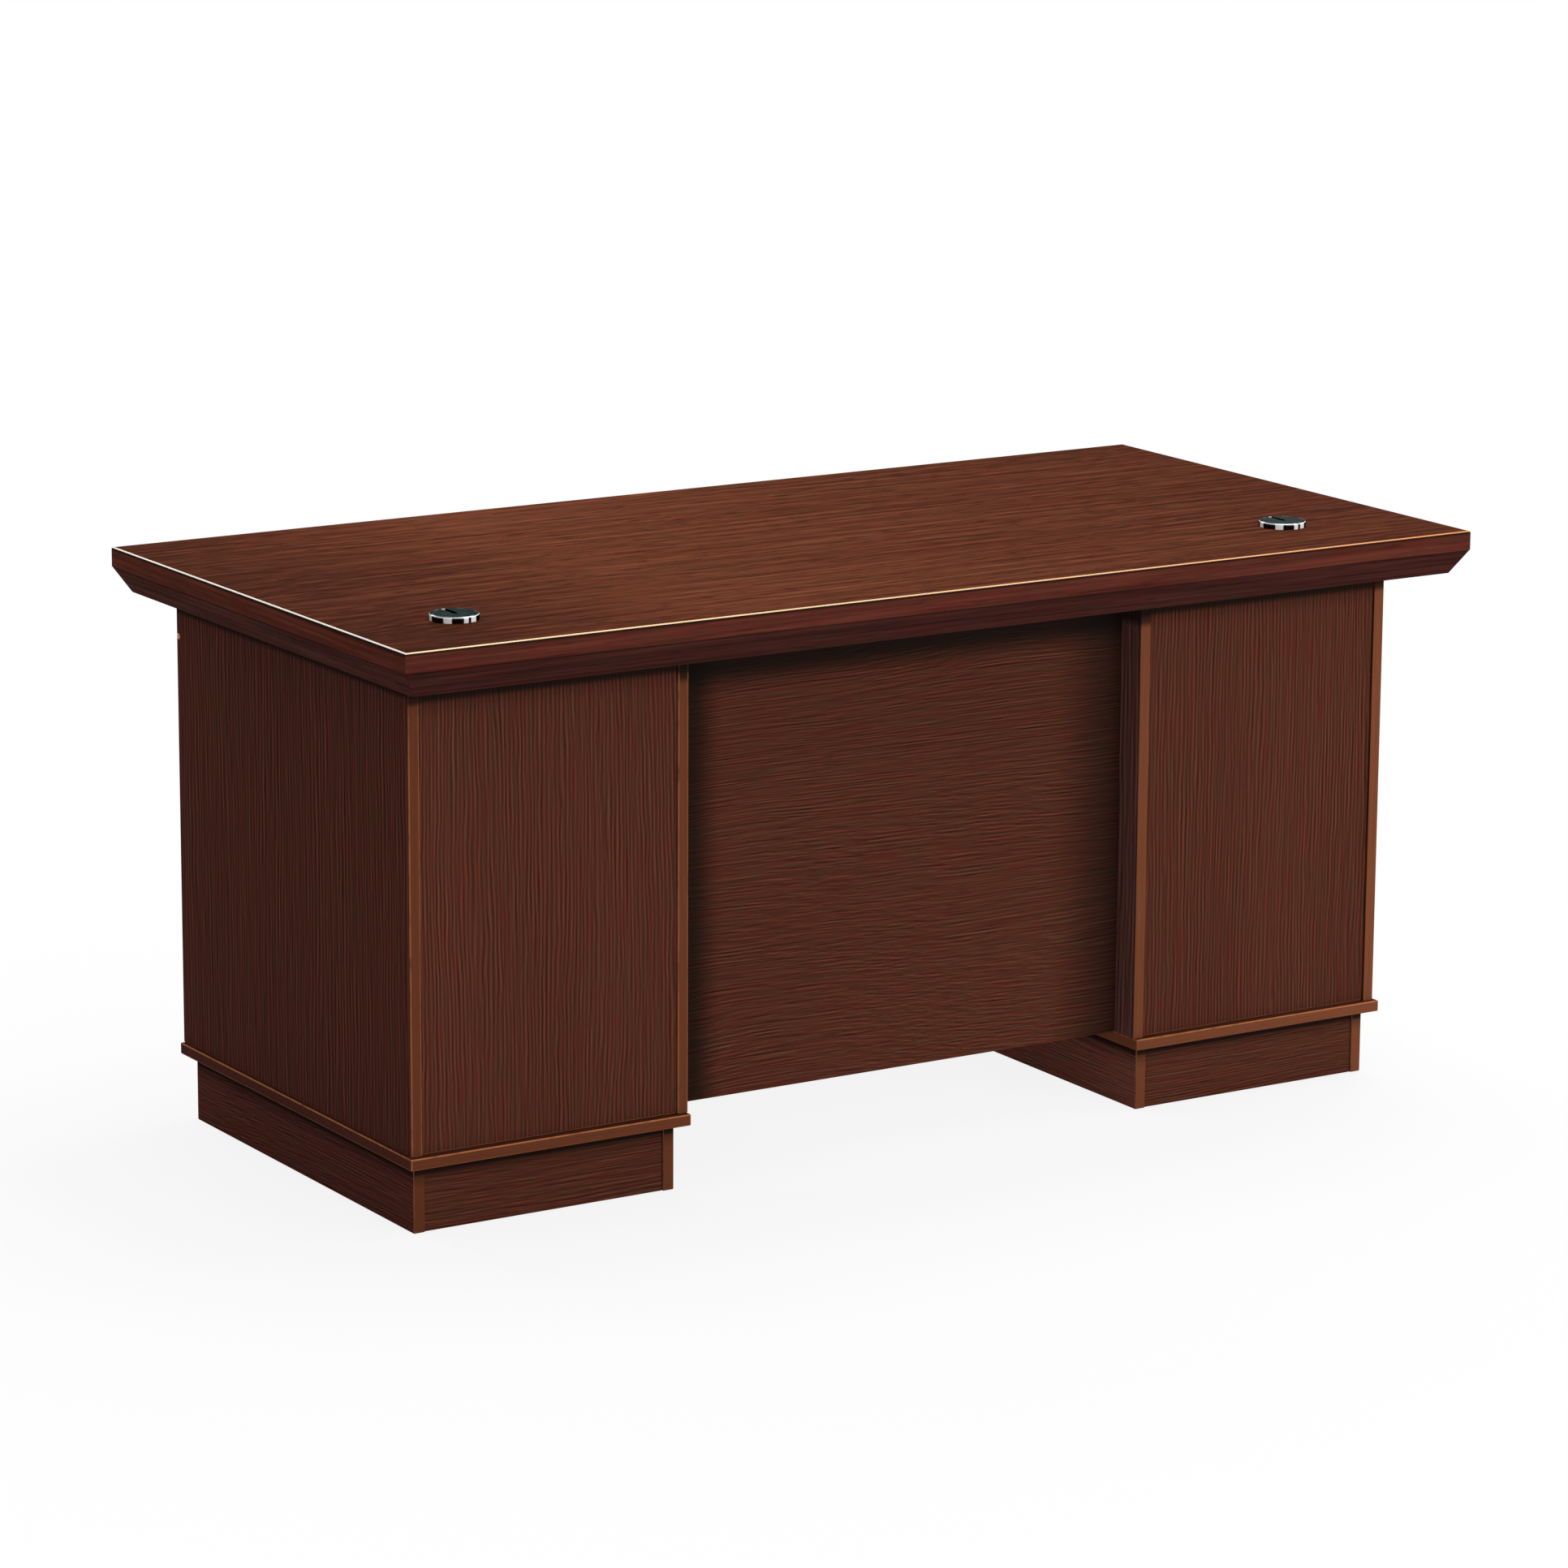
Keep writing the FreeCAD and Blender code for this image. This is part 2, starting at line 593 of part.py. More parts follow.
def slide_pair(name, side, low, runner):
    """The two runners of a drawer, or the two channels that they run in."""
    step = "(slide_steel + slide_gap)" if runner else "0"
    size = (SLIDE_NEST, SLIDE_LENGTH, f"(slide_height - 2 * {step})")
    pair = []
    for end, wall, grows in (("near", BAY_NEAR, True), ("far", BAY_FAR, False)):
        shift = SLIDE_OFFSET if runner else "0"
        reach = (f"{wall} + {shift}", f"{wall} + {shift} + {SLIDE_NEST}") if grows else (
            f"{wall} - {shift} - {SLIDE_NEST}", f"{wall} - {shift}")
        faces_out = grows == (side == "right")
        corner = (across(side, *reach), SLIDE_BACK, f"{low} + {step}")
        pair.append(steel_trough(f"{name}_{end}", corner, size, faces_out != runner))
    return pair


def drawer(name):
    """One drawer: front, grooved walls, bottom, handle and its pair of runners."""
    side, top, height = DRAWERS[name]
    part(f"{name}_front", block(
        f"{name}_front_board", (across(side, FRONT_NEAR, FRONT_FAR), FRONT_BACK, f"{top} - {height}"),
        (FRONT_WIDTH, "front_thickness", height)))

    low = f"({top} - {height} + drawer_wall_lift)"
    wall_height = f"({height} - drawer_wall_lift - drawer_wall_drop)"
    near, far = f"({BAY_NEAR} + slide_room)", f"({BAY_FAR} - slide_room)"
    bottom_low = f"({low} + drawer_bottom_lift)"
    inner_near, inner_far = f"({near} + drawer_wall)", f"({far} - drawer_wall)"
    inner_width = f"({inner_far} - {inner_near})"
    bottom_x = across(side, f"{inner_near} - drawer_groove", f"{inner_far} + drawer_groove")
    bottom_width = f"({inner_width} + 2 * drawer_groove)"
    groove = block(f"{name}_groove", (bottom_x, f"{DRAWER_REAR} - overrun", bottom_low),
                   (bottom_width, f"{DRAWER_DEPTH} + 2 * overrun", "drawer_bottom"))
    walls = []
    for end, span in (("near", (near, inner_near)), ("far", (inner_far, far))):
        wall = block(f"{name}_{end}_wall", (across(side, *span), DRAWER_REAR, low),
                     ("drawer_wall", DRAWER_DEPTH, wall_height))
        walls.append(cut(f"{name}_{end}_wall", wall, [groove]))
    back_low = f"({bottom_low} + drawer_bottom)"
    walls.append(block(f"{name}_back_wall", (across(side, inner_near, inner_far), DRAWER_REAR, back_low),
                       (inner_width, "drawer_wall", f"{low} + {wall_height} - {back_low}")))
    part(f"{name}_walls", group(f"{name}_box", walls))
    part(f"{name}_bottom", block(f"{name}_base", (bottom_x, DRAWER_REAR, bottom_low),
                                 (bottom_width, DRAWER_DEPTH, "drawer_bottom")))

    runners = slide_pair(f"{name}_runner", side, f"{low} + slide_lift", True)
    part(f"{name}_runners", group(f"{name}_runner_pair", runners))
    middle = f"({across(side, FRONT_NEAR, FRONT_FAR)} + {FRONT_WIDTH} / 2)"
    handle(f"{name}_handle", (f"{middle} - handle_span / 2", USER_EDGE, f"{top} - drawer_front_height / 2"))


def slide_channels(side):
    """Steel channels on the side panels of one pedestal, two for each drawer."""
    channels = []
    for name, (home, top, height) in DRAWERS.items():
        if home == side:
            low = f"({top} - {height} + drawer_wall_lift + slide_lift)"
            channels += slide_pair(f"{name}_channel", side, low, False)
    part(f"{side}_slide_channels", group(f"{side}_channels", channels))


def cupboard():
    """Divider under the right drawer, and a loose shelf on four pins."""
    start = across("right", BAY_NEAR, BAY_FAR)
    part("right_divider", block("divider_board", (start, CABLE_EDGE, f"{DIVIDER_TOP} - board_thickness"),
                                (BAY_WIDTH, f"{USER_EDGE} - {CABLE_EDGE}", "board_thickness")))
    part("right_shelf", block("shelf_board", (f"{start} + shelf_side_gap", CABLE_EDGE, SHELF_UNDERSIDE),
                              (f"{BAY_WIDTH} - 2 * shelf_side_gap", f"{SHELF_USER_EDGE} - {CABLE_EDGE}",
                               "board_thickness")))
    pins = []
    for end, first, turn in (("near", f"{BAY_NEAR} - shelf_pin_depth", TO_X),
                             ("far", f"{BAY_FAR} + shelf_pin_depth", TO_MINUS_X)):
        for count, y in enumerate(shelf_pin_places()):
            level = f"{SHELF_UNDERSIDE} - shelf_pin_diameter / 2"
            pins.append(rod(f"shelf_pin_{end}_{count}", (first, y, level), "shelf_pin_diameter",
                            "shelf_pin_depth + shelf_pin_reach", turn))
    part("right_shelf_pins", group("shelf_pins", pins))


def hinge_leaf(name, plate_x, low, knuckles):
    """Plate of one butt hinge with the knuckles that it carries, bored for the pin."""
    pieces = [block(f"{name}_plate", (plate_x, f"{USER_EDGE} - {HINGE_LEAF_WIDTH}", low),
                    (HINGE_LEAF, HINGE_LEAF_WIDTH, "hinge_height"))]
    for count, (start, length) in enumerate(knuckles):
        foot = f"{low} + {start}"
        pieces.append(block(f"{name}_neck_{count}", (plate_x, USER_EDGE, foot),
                            (HINGE_LEAF, f"{HINGE_Y} - {USER_EDGE}", length)))
        pieces.append(rod(f"{name}_knuckle_{count}", (HINGE_X, HINGE_Y, foot),
                          "hinge_knuckle_diameter", length))
    bore = rod(f"{name}_bore", (HINGE_X, HINGE_Y, f"{low} - overrun"),
               "hinge_pin_diameter + 2 * hinge_pin_gap", "hinge_height + 2 * overrun")
    return cut(name, fuse(f"{name}_blank", pieces), [bore])


def door():
    """Cupboard door on two butt hinges, with an upright handle on its free edge."""
    part("door_panel", block("door_board", (FRONT_NEAR, FRONT_BACK, DOOR_BOTTOM),
                             (FRONT_WIDTH, "front_thickness", f"{DOOR_TOP} - {DOOR_BOTTOM}")))
    third = "(hinge_height / 3)"
    outer_knuckles = (("0", third), (f"2 * {third}", third))
    middle_knuckle = ((f"{third} + hinge_gap", f"{third} - 2 * hinge_gap"),)
    fixed, moving, pins = [], [], []
    for level, low in (("lower", f"({DOOR_BOTTOM} + hinge_inset)"),
                       ("upper", f"({DOOR_TOP} - hinge_inset - hinge_height)")):
        fixed.append(hinge_leaf(f"{level}_fixed_leaf", f"{BAY_FAR} - {HINGE_LEAF}", low, outer_knuckles))
        moving.append(hinge_leaf(f"{level}_moving_leaf", FRONT_FAR, low, middle_knuckle))
        pins.append(rod(f"{level}_hinge_pin", (HINGE_X, HINGE_Y, low), "hinge_pin_diameter", "hinge_height"))
    part("hinge_fixed_leaves", group("fixed_leaves", fixed))
    part("hinge_moving_leaves", group("moving_leaves", moving))
    part("hinge_pins", group("pins", pins))
    handle("door_handle", (f"{FRONT_NEAR} + door_handle_inset", USER_EDGE,
                           f"{DOOR_TOP} - door_handle_drop - handle_span"), TO_MINUS_X)


def side_cap():
    """Small domed metal cap near the user's edge of the left side panel."""
    cap = doc.addObject("Part::Ellipsoid", "cap_dome")
    cap.Angle1 = 0
    bind(cap, "Radius1", "cap_rise")
    bind(cap, "Radius2", "cap_diameter / 2")
    cap.Placement.Rotation = TO_MINUS_X
    place(cap, (f"-{OUTER_FACE}", f"{USER_EDGE} - cap_edge_inset", f"{UNDERSIDE} - cap_drop"))
    part("left_side_cap", cap)


def check_document():
    """Stops before anything is written if an item failed or a sub-part has no sound shape."""
    doc.recompute()
    for item in doc.Objects:
        if "Invalid" in item.State or "Error" in item.State:
            raise RuntimeError(f"{item.Label} failed: {item.State}")
    for label, item in parts.items():
        if item.Shape.isNull() or not item.Shape.isValid() or not item.Shape.Solids:
            raise RuntimeError(f"{label} has no sound shape")


def write_parts():
    """One file for each sub-part."""
    os.makedirs("parts", exist_ok=True)
    for label, item in parts.items():
        item.Shape.exportStep(f"parts/{label}.step")
        print(f"{label}: {len(item.Shape.Solids)} solid, {item.Shape.Volume:.0f} cubic mm")


make_sheet()
top_board()
edge_strips()
top_screws()
for desk_side in SIDES:
    side_panels(desk_side)
    pedestal_boards(desk_side)
    top_rails(desk_side)
    plinth(desk_side)
    outlet(desk_side)
    slide_channels(desk_side)
modesty()
for drawer_name in DRAWERS:
    drawer(drawer_name)
cupboard()
door()
side_cap()
check_document()
write_parts()
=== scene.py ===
from dataclasses import dataclass, replace
import math

import bmesh
import bpy
from mathutils import Matrix, Vector


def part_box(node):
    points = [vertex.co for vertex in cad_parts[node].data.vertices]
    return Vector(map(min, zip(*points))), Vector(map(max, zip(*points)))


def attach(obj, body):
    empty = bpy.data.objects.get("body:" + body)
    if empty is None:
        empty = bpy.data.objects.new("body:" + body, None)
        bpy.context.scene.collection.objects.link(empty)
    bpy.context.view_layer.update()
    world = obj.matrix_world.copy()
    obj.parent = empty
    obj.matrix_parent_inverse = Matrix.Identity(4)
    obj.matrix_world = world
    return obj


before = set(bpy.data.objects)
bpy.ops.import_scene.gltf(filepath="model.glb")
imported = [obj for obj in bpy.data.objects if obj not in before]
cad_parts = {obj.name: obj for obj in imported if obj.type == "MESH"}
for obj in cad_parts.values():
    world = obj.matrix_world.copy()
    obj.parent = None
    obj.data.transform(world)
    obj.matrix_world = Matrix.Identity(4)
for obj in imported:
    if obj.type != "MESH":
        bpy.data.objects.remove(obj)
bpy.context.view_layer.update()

# Looks of an office desk on two pedestals: red-brown veneer, chrome fittings, pale drawer boxes.
# Every length is in metres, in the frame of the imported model.

SIDES = ("left", "right")
DRAWERS = ("left_upper_drawer", "left_middle_drawer", "left_lower_drawer", "right_drawer")

# Camera of the photograph, in its square frame
CAMERA_PLACE = Vector((-4.0575, -6.4627, 2.1701))
CAMERA_AZIMUTH = math.radians(-31.9946)
CAMERA_ELEVATION = math.radians(12.8435)
CAMERA_ROLL = math.radians(0.3144)
CAMERA_SENSOR_MM = 36
CAMERA_LENS_MM = 135.87

# Lamps: name, place, target, size and power
LAMPS = (
    ("front_light", (1.2, -5.0, 1.6), (0, 0, 0.5), (4.0, 2.6), 128),
    ("top_light", (1.5, 0.2, 4.2), (0.2, 0, 0.7), (3.0, 2.5), 122),
    ("back_light", (-0.6, 4.4, 3.6), (0, 0, 0.5), (3.6, 1.6), 90),
)

# Surroundings and floor
WHITE = (1, 1, 1, 1)
AMBIENT_STRENGTH = 0.46
SEEN_STRENGTH = 1.0
FLOOR_GREY = (0.85, 0.85, 0.85, 1)
FLOOR_HALF = 40
FLOOR_CLEAR_START = 0.9
FLOOR_CLEAR_END = 2.2
FLOOR_NEAR_SHARE = 0.85

# Display values to linear light: a straight start, then a curve
DISPLAY_WHITE = 255
CURVE_START = 0.04
STRAIGHT_SLOPE = 12.92
CURVE_LIFT = 0.055
CURVE_POWER = 2.4

# Rounded arrises of boards and of folded steel
BOARD_ARRIS = 0.0016
STEEL_ARRIS = 0.0003
ARRIS_STEPS = 3
ARRIS_ANGLE = math.radians(60)
WELD_REACH = 0.00001

# Boards nearer than this to the middle face the kneehole
PEDESTAL_MIDDLE = 0.5

# How squarely a surface must face an axis to be a face of its board, or the flat of the top
FACE_TURN = 0.6
FLAT_TURN = 0.9

# Painted highlight line on the eased upper edge of the top, and the dark line under it
TOP_EDGE_ROUND = 0.003
EASE_START = 0.1 * TOP_EDGE_ROUND
LINE_DEPTH = 0.0012
LINE_SHADE_DEPTH = 0.0042
LINE_SHADE = 0.75

# Painted shade added to the top's veneer from its left end to its right, darker at both ends: two places
# along X, then the tones there
TOP_SHADE_RISE = (-0.7, -0.35, -0.26, -0.05)
TOP_SHADE_FALL = (-0.3, 0.8, 0.0, -0.22)

# Painted shade in the veneer under the top, its strips and the lips, and in the kneehole's corners, and a
# dark line at the top's lower joint: how far each is full, where it ends and how dark it is
TOP_JOINT_SHADE = (0.0, 0.0012, 0.8)
SIDE_SHADE = (0.019, 0.028, 0.85)
INNER_SHADE = (0.036, 0.048, 0.8)
BAND_SHADE = (0.0275, 0.036, 0.8)
FRONT_SHADES = ((0.026, 0.035, 0.85), (0.028, 0.056, 0.25))
PLINTH_SHADES = ((0.010, 0.015, 0.85), (0.010, 0.032, 0.45))
KNEEHOLE_SHADE = (0.040, 0.082, 0.88)
LEFT_CORNER_SHADE = (0.03, 0.08, 0.8)
RIGHT_CORNER_SHADE = (0.02, 0.12, 0.65)

# Collars at the feet of the handles: radius and height of each point of their outline
COLLAR_OUTLINE = ((0.0048, 0.0), (0.0094, 0.0), (0.0097, 0.0004), (0.0097, 0.0010), (0.0093, 0.0015),
                  (0.0080, 0.0018), (0.0068, 0.0023), (0.0062, 0.0032), (0.0060, 0.0042), (0.0057, 0.0047),
                  (0.0052, 0.0048), (0.0048, 0.0044))
COLLAR_STEPS = 48

# Cross-head screws: shares of the head's radius and height, and the two sizes of head
HEAD_OUTLINE = ((1.0, 0.0), (1.0, 0.35), (0.94, 0.62), (0.82, 0.85), (0.66, 1.0))
HEAD_STEPS = 32
CROSS_ARMS = 4
CROSS_REACH = 0.5
CROSS_WIDTH = 0.13
CROSS_DEPTH = 0.65
PAN_HEAD = (0.0036, 0.0019)
FLUSH_HEAD = (0.0031, 0.00012)
FLAT_ANGLE = math.radians(35)

# Where the screws sit on brackets, hinge leaves and runners
USER_WAY = (0, 1, 0)
BRACKET_HALF_WIDTH = 0.015
BRACKET_STEEL = 0.002
BRACKET_SCREW_INSETS = (0.014, 0.030)
HINGE_SCREW_SHARES = (1 / 6, 1 / 2, 5 / 6)
HINGE_HEIGHT = 0.060
HINGE_LEAF = 0.001
RUNNER_STEEL = 0.0012
RUNNER_SCREW_SHARES = (0.08, 0.5, 0.92)


def linear(share):
    """Linear value of a display value from 0 to 1."""
    if share < CURVE_START:
        return share / STRAIGHT_SLOPE
    return ((share + CURVE_LIFT) / (1 + CURVE_LIFT)) ** CURVE_POWER


def colour(red, green, blue):
    """Linear colour of three display values from 0 to 255."""
    return (*[linear(value / DISPLAY_WHITE) for value in (red, green, blue)], 1)


class Finish:
    """Node tree of one material, with short ways to add the nodes that it needs."""

    def __init__(self, name):
        self.material = bpy.data.materials.new(name)
        self.material.use_nodes = True
        self.nodes = self.material.node_tree.nodes
        self.links = self.material.node_tree.links
        self.surface = self.nodes["Principled BSDF"]
        texture = self.nodes.new("ShaderNodeTexCoord")
        self.point = texture.outputs["Object"]
        self.normal = texture.outputs["Normal"]

    def put(self, socket, value):
        """Links a socket to another node, or sets it to a constant."""
        if isinstance(value, bpy.types.NodeSocket):
            self.links.new(value, socket)
        else:
            socket.default_value = value

    def fill(self, sockets, values):
        """Gives each socket its value, in order."""
        for socket, value in zip(sockets, values):
            self.put(socket, value)

    def set(self, **values):
        """Sets sockets of the surface, named with underscores for spaces."""
        for name, value in values.items():
            self.put(self.surface.inputs[name.replace("_", " ")], value)

    def math(self, operation, *values):
        node = self.nodes.new("ShaderNodeMath")
        node.operation = operation
        self.fill(node.inputs, values)
        return node.outputs[0]

    def vector(self, operation, *values):
        node = self.nodes.new("ShaderNodeVectorMath")
        node.operation = operation
        self.fill(node.inputs, values)
        return node.outputs[0]

    def split(self, vector):
        """The three parts of a vector, in order or by the letter of their axis."""
        node = self.nodes.new("ShaderNodeSeparateXYZ")
        self.put(node.inputs[0], vector)
        return node.outputs

    def join(self, *values):
        node = self.nodes.new("ShaderNodeCombineXYZ")
        self.fill(node.inputs, values)
        return node.outputs[0]

    def times(self, vector, factors):
        return self.vector("MULTIPLY", vector, factors)

    def dot(self, vector, weights):
        return self.vector("DOT_PRODUCT", vector, weights).node.outputs["Value"]

    def scale(self, vector, factor):
        node = self.vector("SCALE", vector).node
        self.put(node.inputs["Scale"], factor)
        return node.outputs[0]

    def noise(self, vector, detail, roughness):
        node = self.nodes.new("ShaderNodeTexNoise")
        self.put(node.inputs["Vector"], vector)
        self.put(node.inputs["Scale"], 1.0)
        self.put(node.inputs["Detail"], detail)
        self.put(node.inputs["Roughness"], roughness)
        return node.outputs["Fac"]

    def span(self, value, low, high, start=0.0, end=1.0, kind="LINEAR"):
        """Maps low..high onto start..end and stops there."""
        node = self.nodes.new("ShaderNodeMapRange")
        node.interpolation_type = kind
        self.fill(node.inputs, (value, low, high, start, end))
        return node.outputs[0]

    def mix(self, factor, first, second, blend="MIX"):
        node = self.nodes.new("ShaderNodeMix")
        node.data_type = "RGBA"
        node.blend_type = blend
        self.put(node.inputs["Factor"], factor)
        self.fill([socket for socket in node.inputs if socket.type == "RGBA"], (first, second))
        return next(socket for socket in node.outputs if socket.type == "RGBA")

    def ramp(self, factor, *stops):
        node = self.nodes.new("ShaderNodeValToRGB")
        self.put(node.inputs[0], factor)
        points = node.color_ramp.elements
        while len(points) < len(stops):
            points.new(1.0)
        for point, (place, value) in zip(points, stops):
            point.position = place
            point.color = value
        return node.outputs["Color"]

    def bump(self, height, strength, distance):
        node = self.nodes.new("ShaderNodeBump")
        self.put(node.inputs["Height"], height)
        self.put(node.inputs["Strength"], strength)
        self.put(node.inputs["Distance"], distance)
        self.put(self.surface.inputs["Normal"], node.outputs[0])


# Tones of each veneer: its dark lines, its middle and its light ridges
VENEER_TONES = (colour(45, 19, 14), colour(82, 45, 33), colour(114, 67, 51))
PANEL_TONES = (colour(44, 18, 13), colour(81, 44, 33), colour(113, 66, 50))
# Sides: painted a little darker and purpler, as they look in shade
SIDE_SHADED_TONES = (colour(40, 18, 16), colour(76, 41, 34), colour(108, 62, 52))
TOP_TONES = (colour(62, 30, 20), colour(105, 57, 38), colour(138, 79, 53))
EDGE_TONES = (colour(49, 21, 16), colour(85, 42, 33), colour(115, 58, 45))
# Kneehole's inner sides and plinth boards: painted lighter, standing in for light in the kneehole
INNER_LIT_TONES = (colour(53, 30, 28), colour(97, 62, 56), colour(130, 90, 82))
FOOT_LIT_TONES = (colour(60, 32, 28), colour(112, 65, 55), colour(146, 96, 84))
STRIP_TONES = (colour(34, 17, 15), colour(60, 31, 27), colour(82, 44, 38))
# End strips: painted lighter than the long strips, standing in for light on the desk's ends
END_STRIP_LIT_TONES = (colour(38, 20, 18), colour(66, 37, 32), colour(90, 52, 45))
PLINTH_TONES = (colour(44, 20, 18), colour(85, 46, 39), colour(119, 69, 59))
# Dark colour of the painted shade; it also darkens the banding's grain and draws the dark lines on the top's
# edge
SHADOW = colour(18, 17, 15)

# Tones of the plain boards: dark, then light
PALE_TONES = (colour(178, 142, 102), colour(206, 176, 136))
MELAMINE_TONES = (colour(96, 62, 44), colour(118, 80, 58))

# The span in which a tone is read, and the tones that are fully dark, middle and light
TONE_SPAN = (0.2, 0.8)
TONE_DARK, TONE_MIDDLE, TONE_LIGHT = 0.1, 0.5, 0.9

# Lighter banding on board edges, painted lighter still towards the right as if lit there, from the left end
# of the desk to the right, and the painted highlight on its arrises
BANDING = colour(98, 53, 34)
BANDING_RIGHT_LIT = colour(120, 69, 46)
BANDING_SPAN = (-0.75, 0.75)
BANDING_GRAIN = 0.16
# Painted highlight on the banding's rounded arrises: where they look up, where they look down, the turn
# between, and the rates and span of its random patches
ARRIS_HIGHLIGHT = colour(178, 112, 70)
ARRIS_UNLIT = colour(96, 54, 38)
ARRIS_LIGHT_TURN = (-0.5, 0.6)
HIGHLIGHT_PATCH_RATES = (40, 40, 40)
HIGHLIGHT_PATCH_SPAN = (0.2, 0.5)

# Painted highlight line on the top's edge: at the left end, and along the desk from left to right
HIGHLIGHT_END = colour(255, 250, 238)
HIGHLIGHT_LEFT = colour(255, 232, 184)
HIGHLIGHT_RIGHT = colour(214, 142, 84)

# Lacquers: roughness of dark and light tones, weight and roughness of the coat, strength and depth of bumps
SATIN_ROUGH = (0.55, 0.42)
SATIN_COAT = (0.01, 0.3)
SATIN_BUMP = (0.25, 0.0003)
TOP_ROUGH = (0.34, 0.22)
TOP_COAT = (0.012, 0.06)
TOP_BUMP = (0.1, 0.0003)
ARRIS_ROUGH = (0.45, 0.3)
ARRIS_COAT = (0.03, 0.2)

# Plated metals: plain and stained colour, roughness, bumps and marks per metre
CHROME = (colour(228, 230, 232), colour(205, 208, 212))
CHROME_ROUGH = (0.05, 0.12)
ZINC = (colour(190, 193, 196), colour(160, 163, 170))
ZINC_ROUGH = (0.28, 0.42)
BRASS = (colour(176, 124, 88), colour(146, 98, 68))
BRASS_ROUGH = (0.12, 0.25)
METAL_BUMP = (0.03, 0.0001)
PLATE_MARKS = (60, 60, 60)
BRUSH_MARKS = (300, 12, 300)
STAIN_SPAN = (0.35, 0.7)
MARK_SPAN = (0.3, 0.7)

# Polished metal of the cable outlets, with painted reflections: the rims' highlight and dark reflection, the
# metal share left in the highlight, and the lids' dark reflection
RIM_HIGHLIGHT = colour(250, 252, 251)
RIM_DARK_REFLECTION = colour(52, 57, 57)
HIGHLIGHT_METAL_SHARE = 0.05
LID_REFLECTION_DARK = colour(98, 105, 105)
LID_REFLECTION_LIGHT = colour(122, 128, 128)
LID_EDGE_ON = colour(118, 124, 123)
OUTLET_ROUGH = (0.08, 0.16)
OUTLET_BUMP = (0.02, 0.0001)
OUTLET_MARKS = (90, 90, 90)

# How far a rim's surface looks up: from its wall to its flat top, and the rounding between that gets a
# painted glint
RIM_TURN = (0.55, 0.85)
RIM_GLINT = (0.6, 0.08, 0.2, 1.0)

# Painted highlight bars round half of a rim: the angle of each and half its width, in degrees
RIM_HIGHLIGHT_BARS = ((46, 10), (90, 6), (112, 9), (171, 9))
# Shares of that half width: where a bar starts to fade and where it ends
BAR_SHARES = (0.8, 1.2)


def stretch(grain, along, across):
    """A value for each axis: one along the grain, one across it."""
    return tuple(along if axis == grain else across for axis in "XYZ")


@dataclass
class Grain:
    """How one cut's grain runs, in metres except the fibres' step, and how strongly it shows."""
    pitch: float
    reach: float
    fibre_reach: float
    fibre_step: float
    figure_width: float
    sway: float
    wobble: float
    lines: float
    fibres: float
    figure: float
    pores: float = 0.0


STRAIGHT_CUT = Grain(pitch=0.0056, reach=0.5, fibre_reach=0.12, fibre_step=0.7, figure_width=0.09,
                     sway=0.004, wobble=0.0010, lines=0.16, fibres=0.70, figure=0.12)
CROWN_CUT = Grain(pitch=0.0046, reach=0.8, fibre_reach=0.12, fibre_step=0.7, figure_width=0.35,
                  sway=0.027, wobble=0.0012, lines=0.07, fibres=1.05, figure=0.25, pores=0.08)
TOP_CUT = Grain(pitch=0.0095, reach=0.6, fibre_reach=0.36, fibre_step=2.5, figure_width=0.20,
                sway=0.014, wobble=0.0015, lines=0.0, fibres=1.1, figure=0.35, pores=0.34)
EDGE_CUT = replace(TOP_CUT, pitch=0.009, sway=0.002, wobble=0.0008, fibres=0.9, figure=0.2, pores=0.12)
SIDE_CUT = replace(STRAIGHT_CUT, pitch=0.008, fibres=0.85)

# Detail and roughness of each kind of noise
SWAY_NOISE = (1, 0.4)
SOFT_NOISE = (1, 0.5)
PLAIN_NOISE = (2, 0.5)
METAL_NOISE = (3, 0.6)
FIBRE_NOISE = (3, 0.65)
STREAK_NOISE = (4, 0.65)

# The spans in which noise is read, wide and narrow
NOISE_SPAN = (0.2, 0.8)
PATCH_SPAN = (0.35, 0.65)

# Changes along the grain in its reach, and across it in the width of its figure
WOBBLE_RATES = (6, 4)
PATCH_RATES = (2, 1.2)
FIGURE_RATES = (0.5, 0.8)

# Fibres in one pitch of the lines, and the share of the lines that is left where they are weakest
FIBRES_PER_PITCH = 1.8
LEAST_LINES = 0.65

# Short dark pores: their length and width, and the noise from which they show to where they are darkest
PORE_REACH = 0.040
PORE_WIDTH = 0.0030
PORE_SPAN = (0.54, 0.68)

# Streaks where a veneer turns redder or more olive: their length and width, and the tint at each level
STREAK_REACH = 0.08
STREAK_WIDTH = 0.005
STREAK_TINTS = ((0.40, (0.84, 1.0, 0.90, 1)), (0.5, (0.92, 0.91, 0.91, 1)), (0.60, (1.0, 0.82, 0.84, 1)))


def drawn_out(finish, point, along, rate_along, rate_across, noise):
    """Noise drawn out along the grain, by its changes per metre along and across it."""
    return finish.noise(finish.times(point, stretch(along, rate_along, rate_across)), *noise)


def figure_noise(finish, point, along, grain, noise, rates=(1, 1)):
    """Noise as long as the grain's reach and as wide as its figure, with more changes where rates say so."""
    rate_along, rate_across = rates
    return drawn_out(finish, point, along, rate_along / grain.reach, rate_across / grain.figure_width, noise)


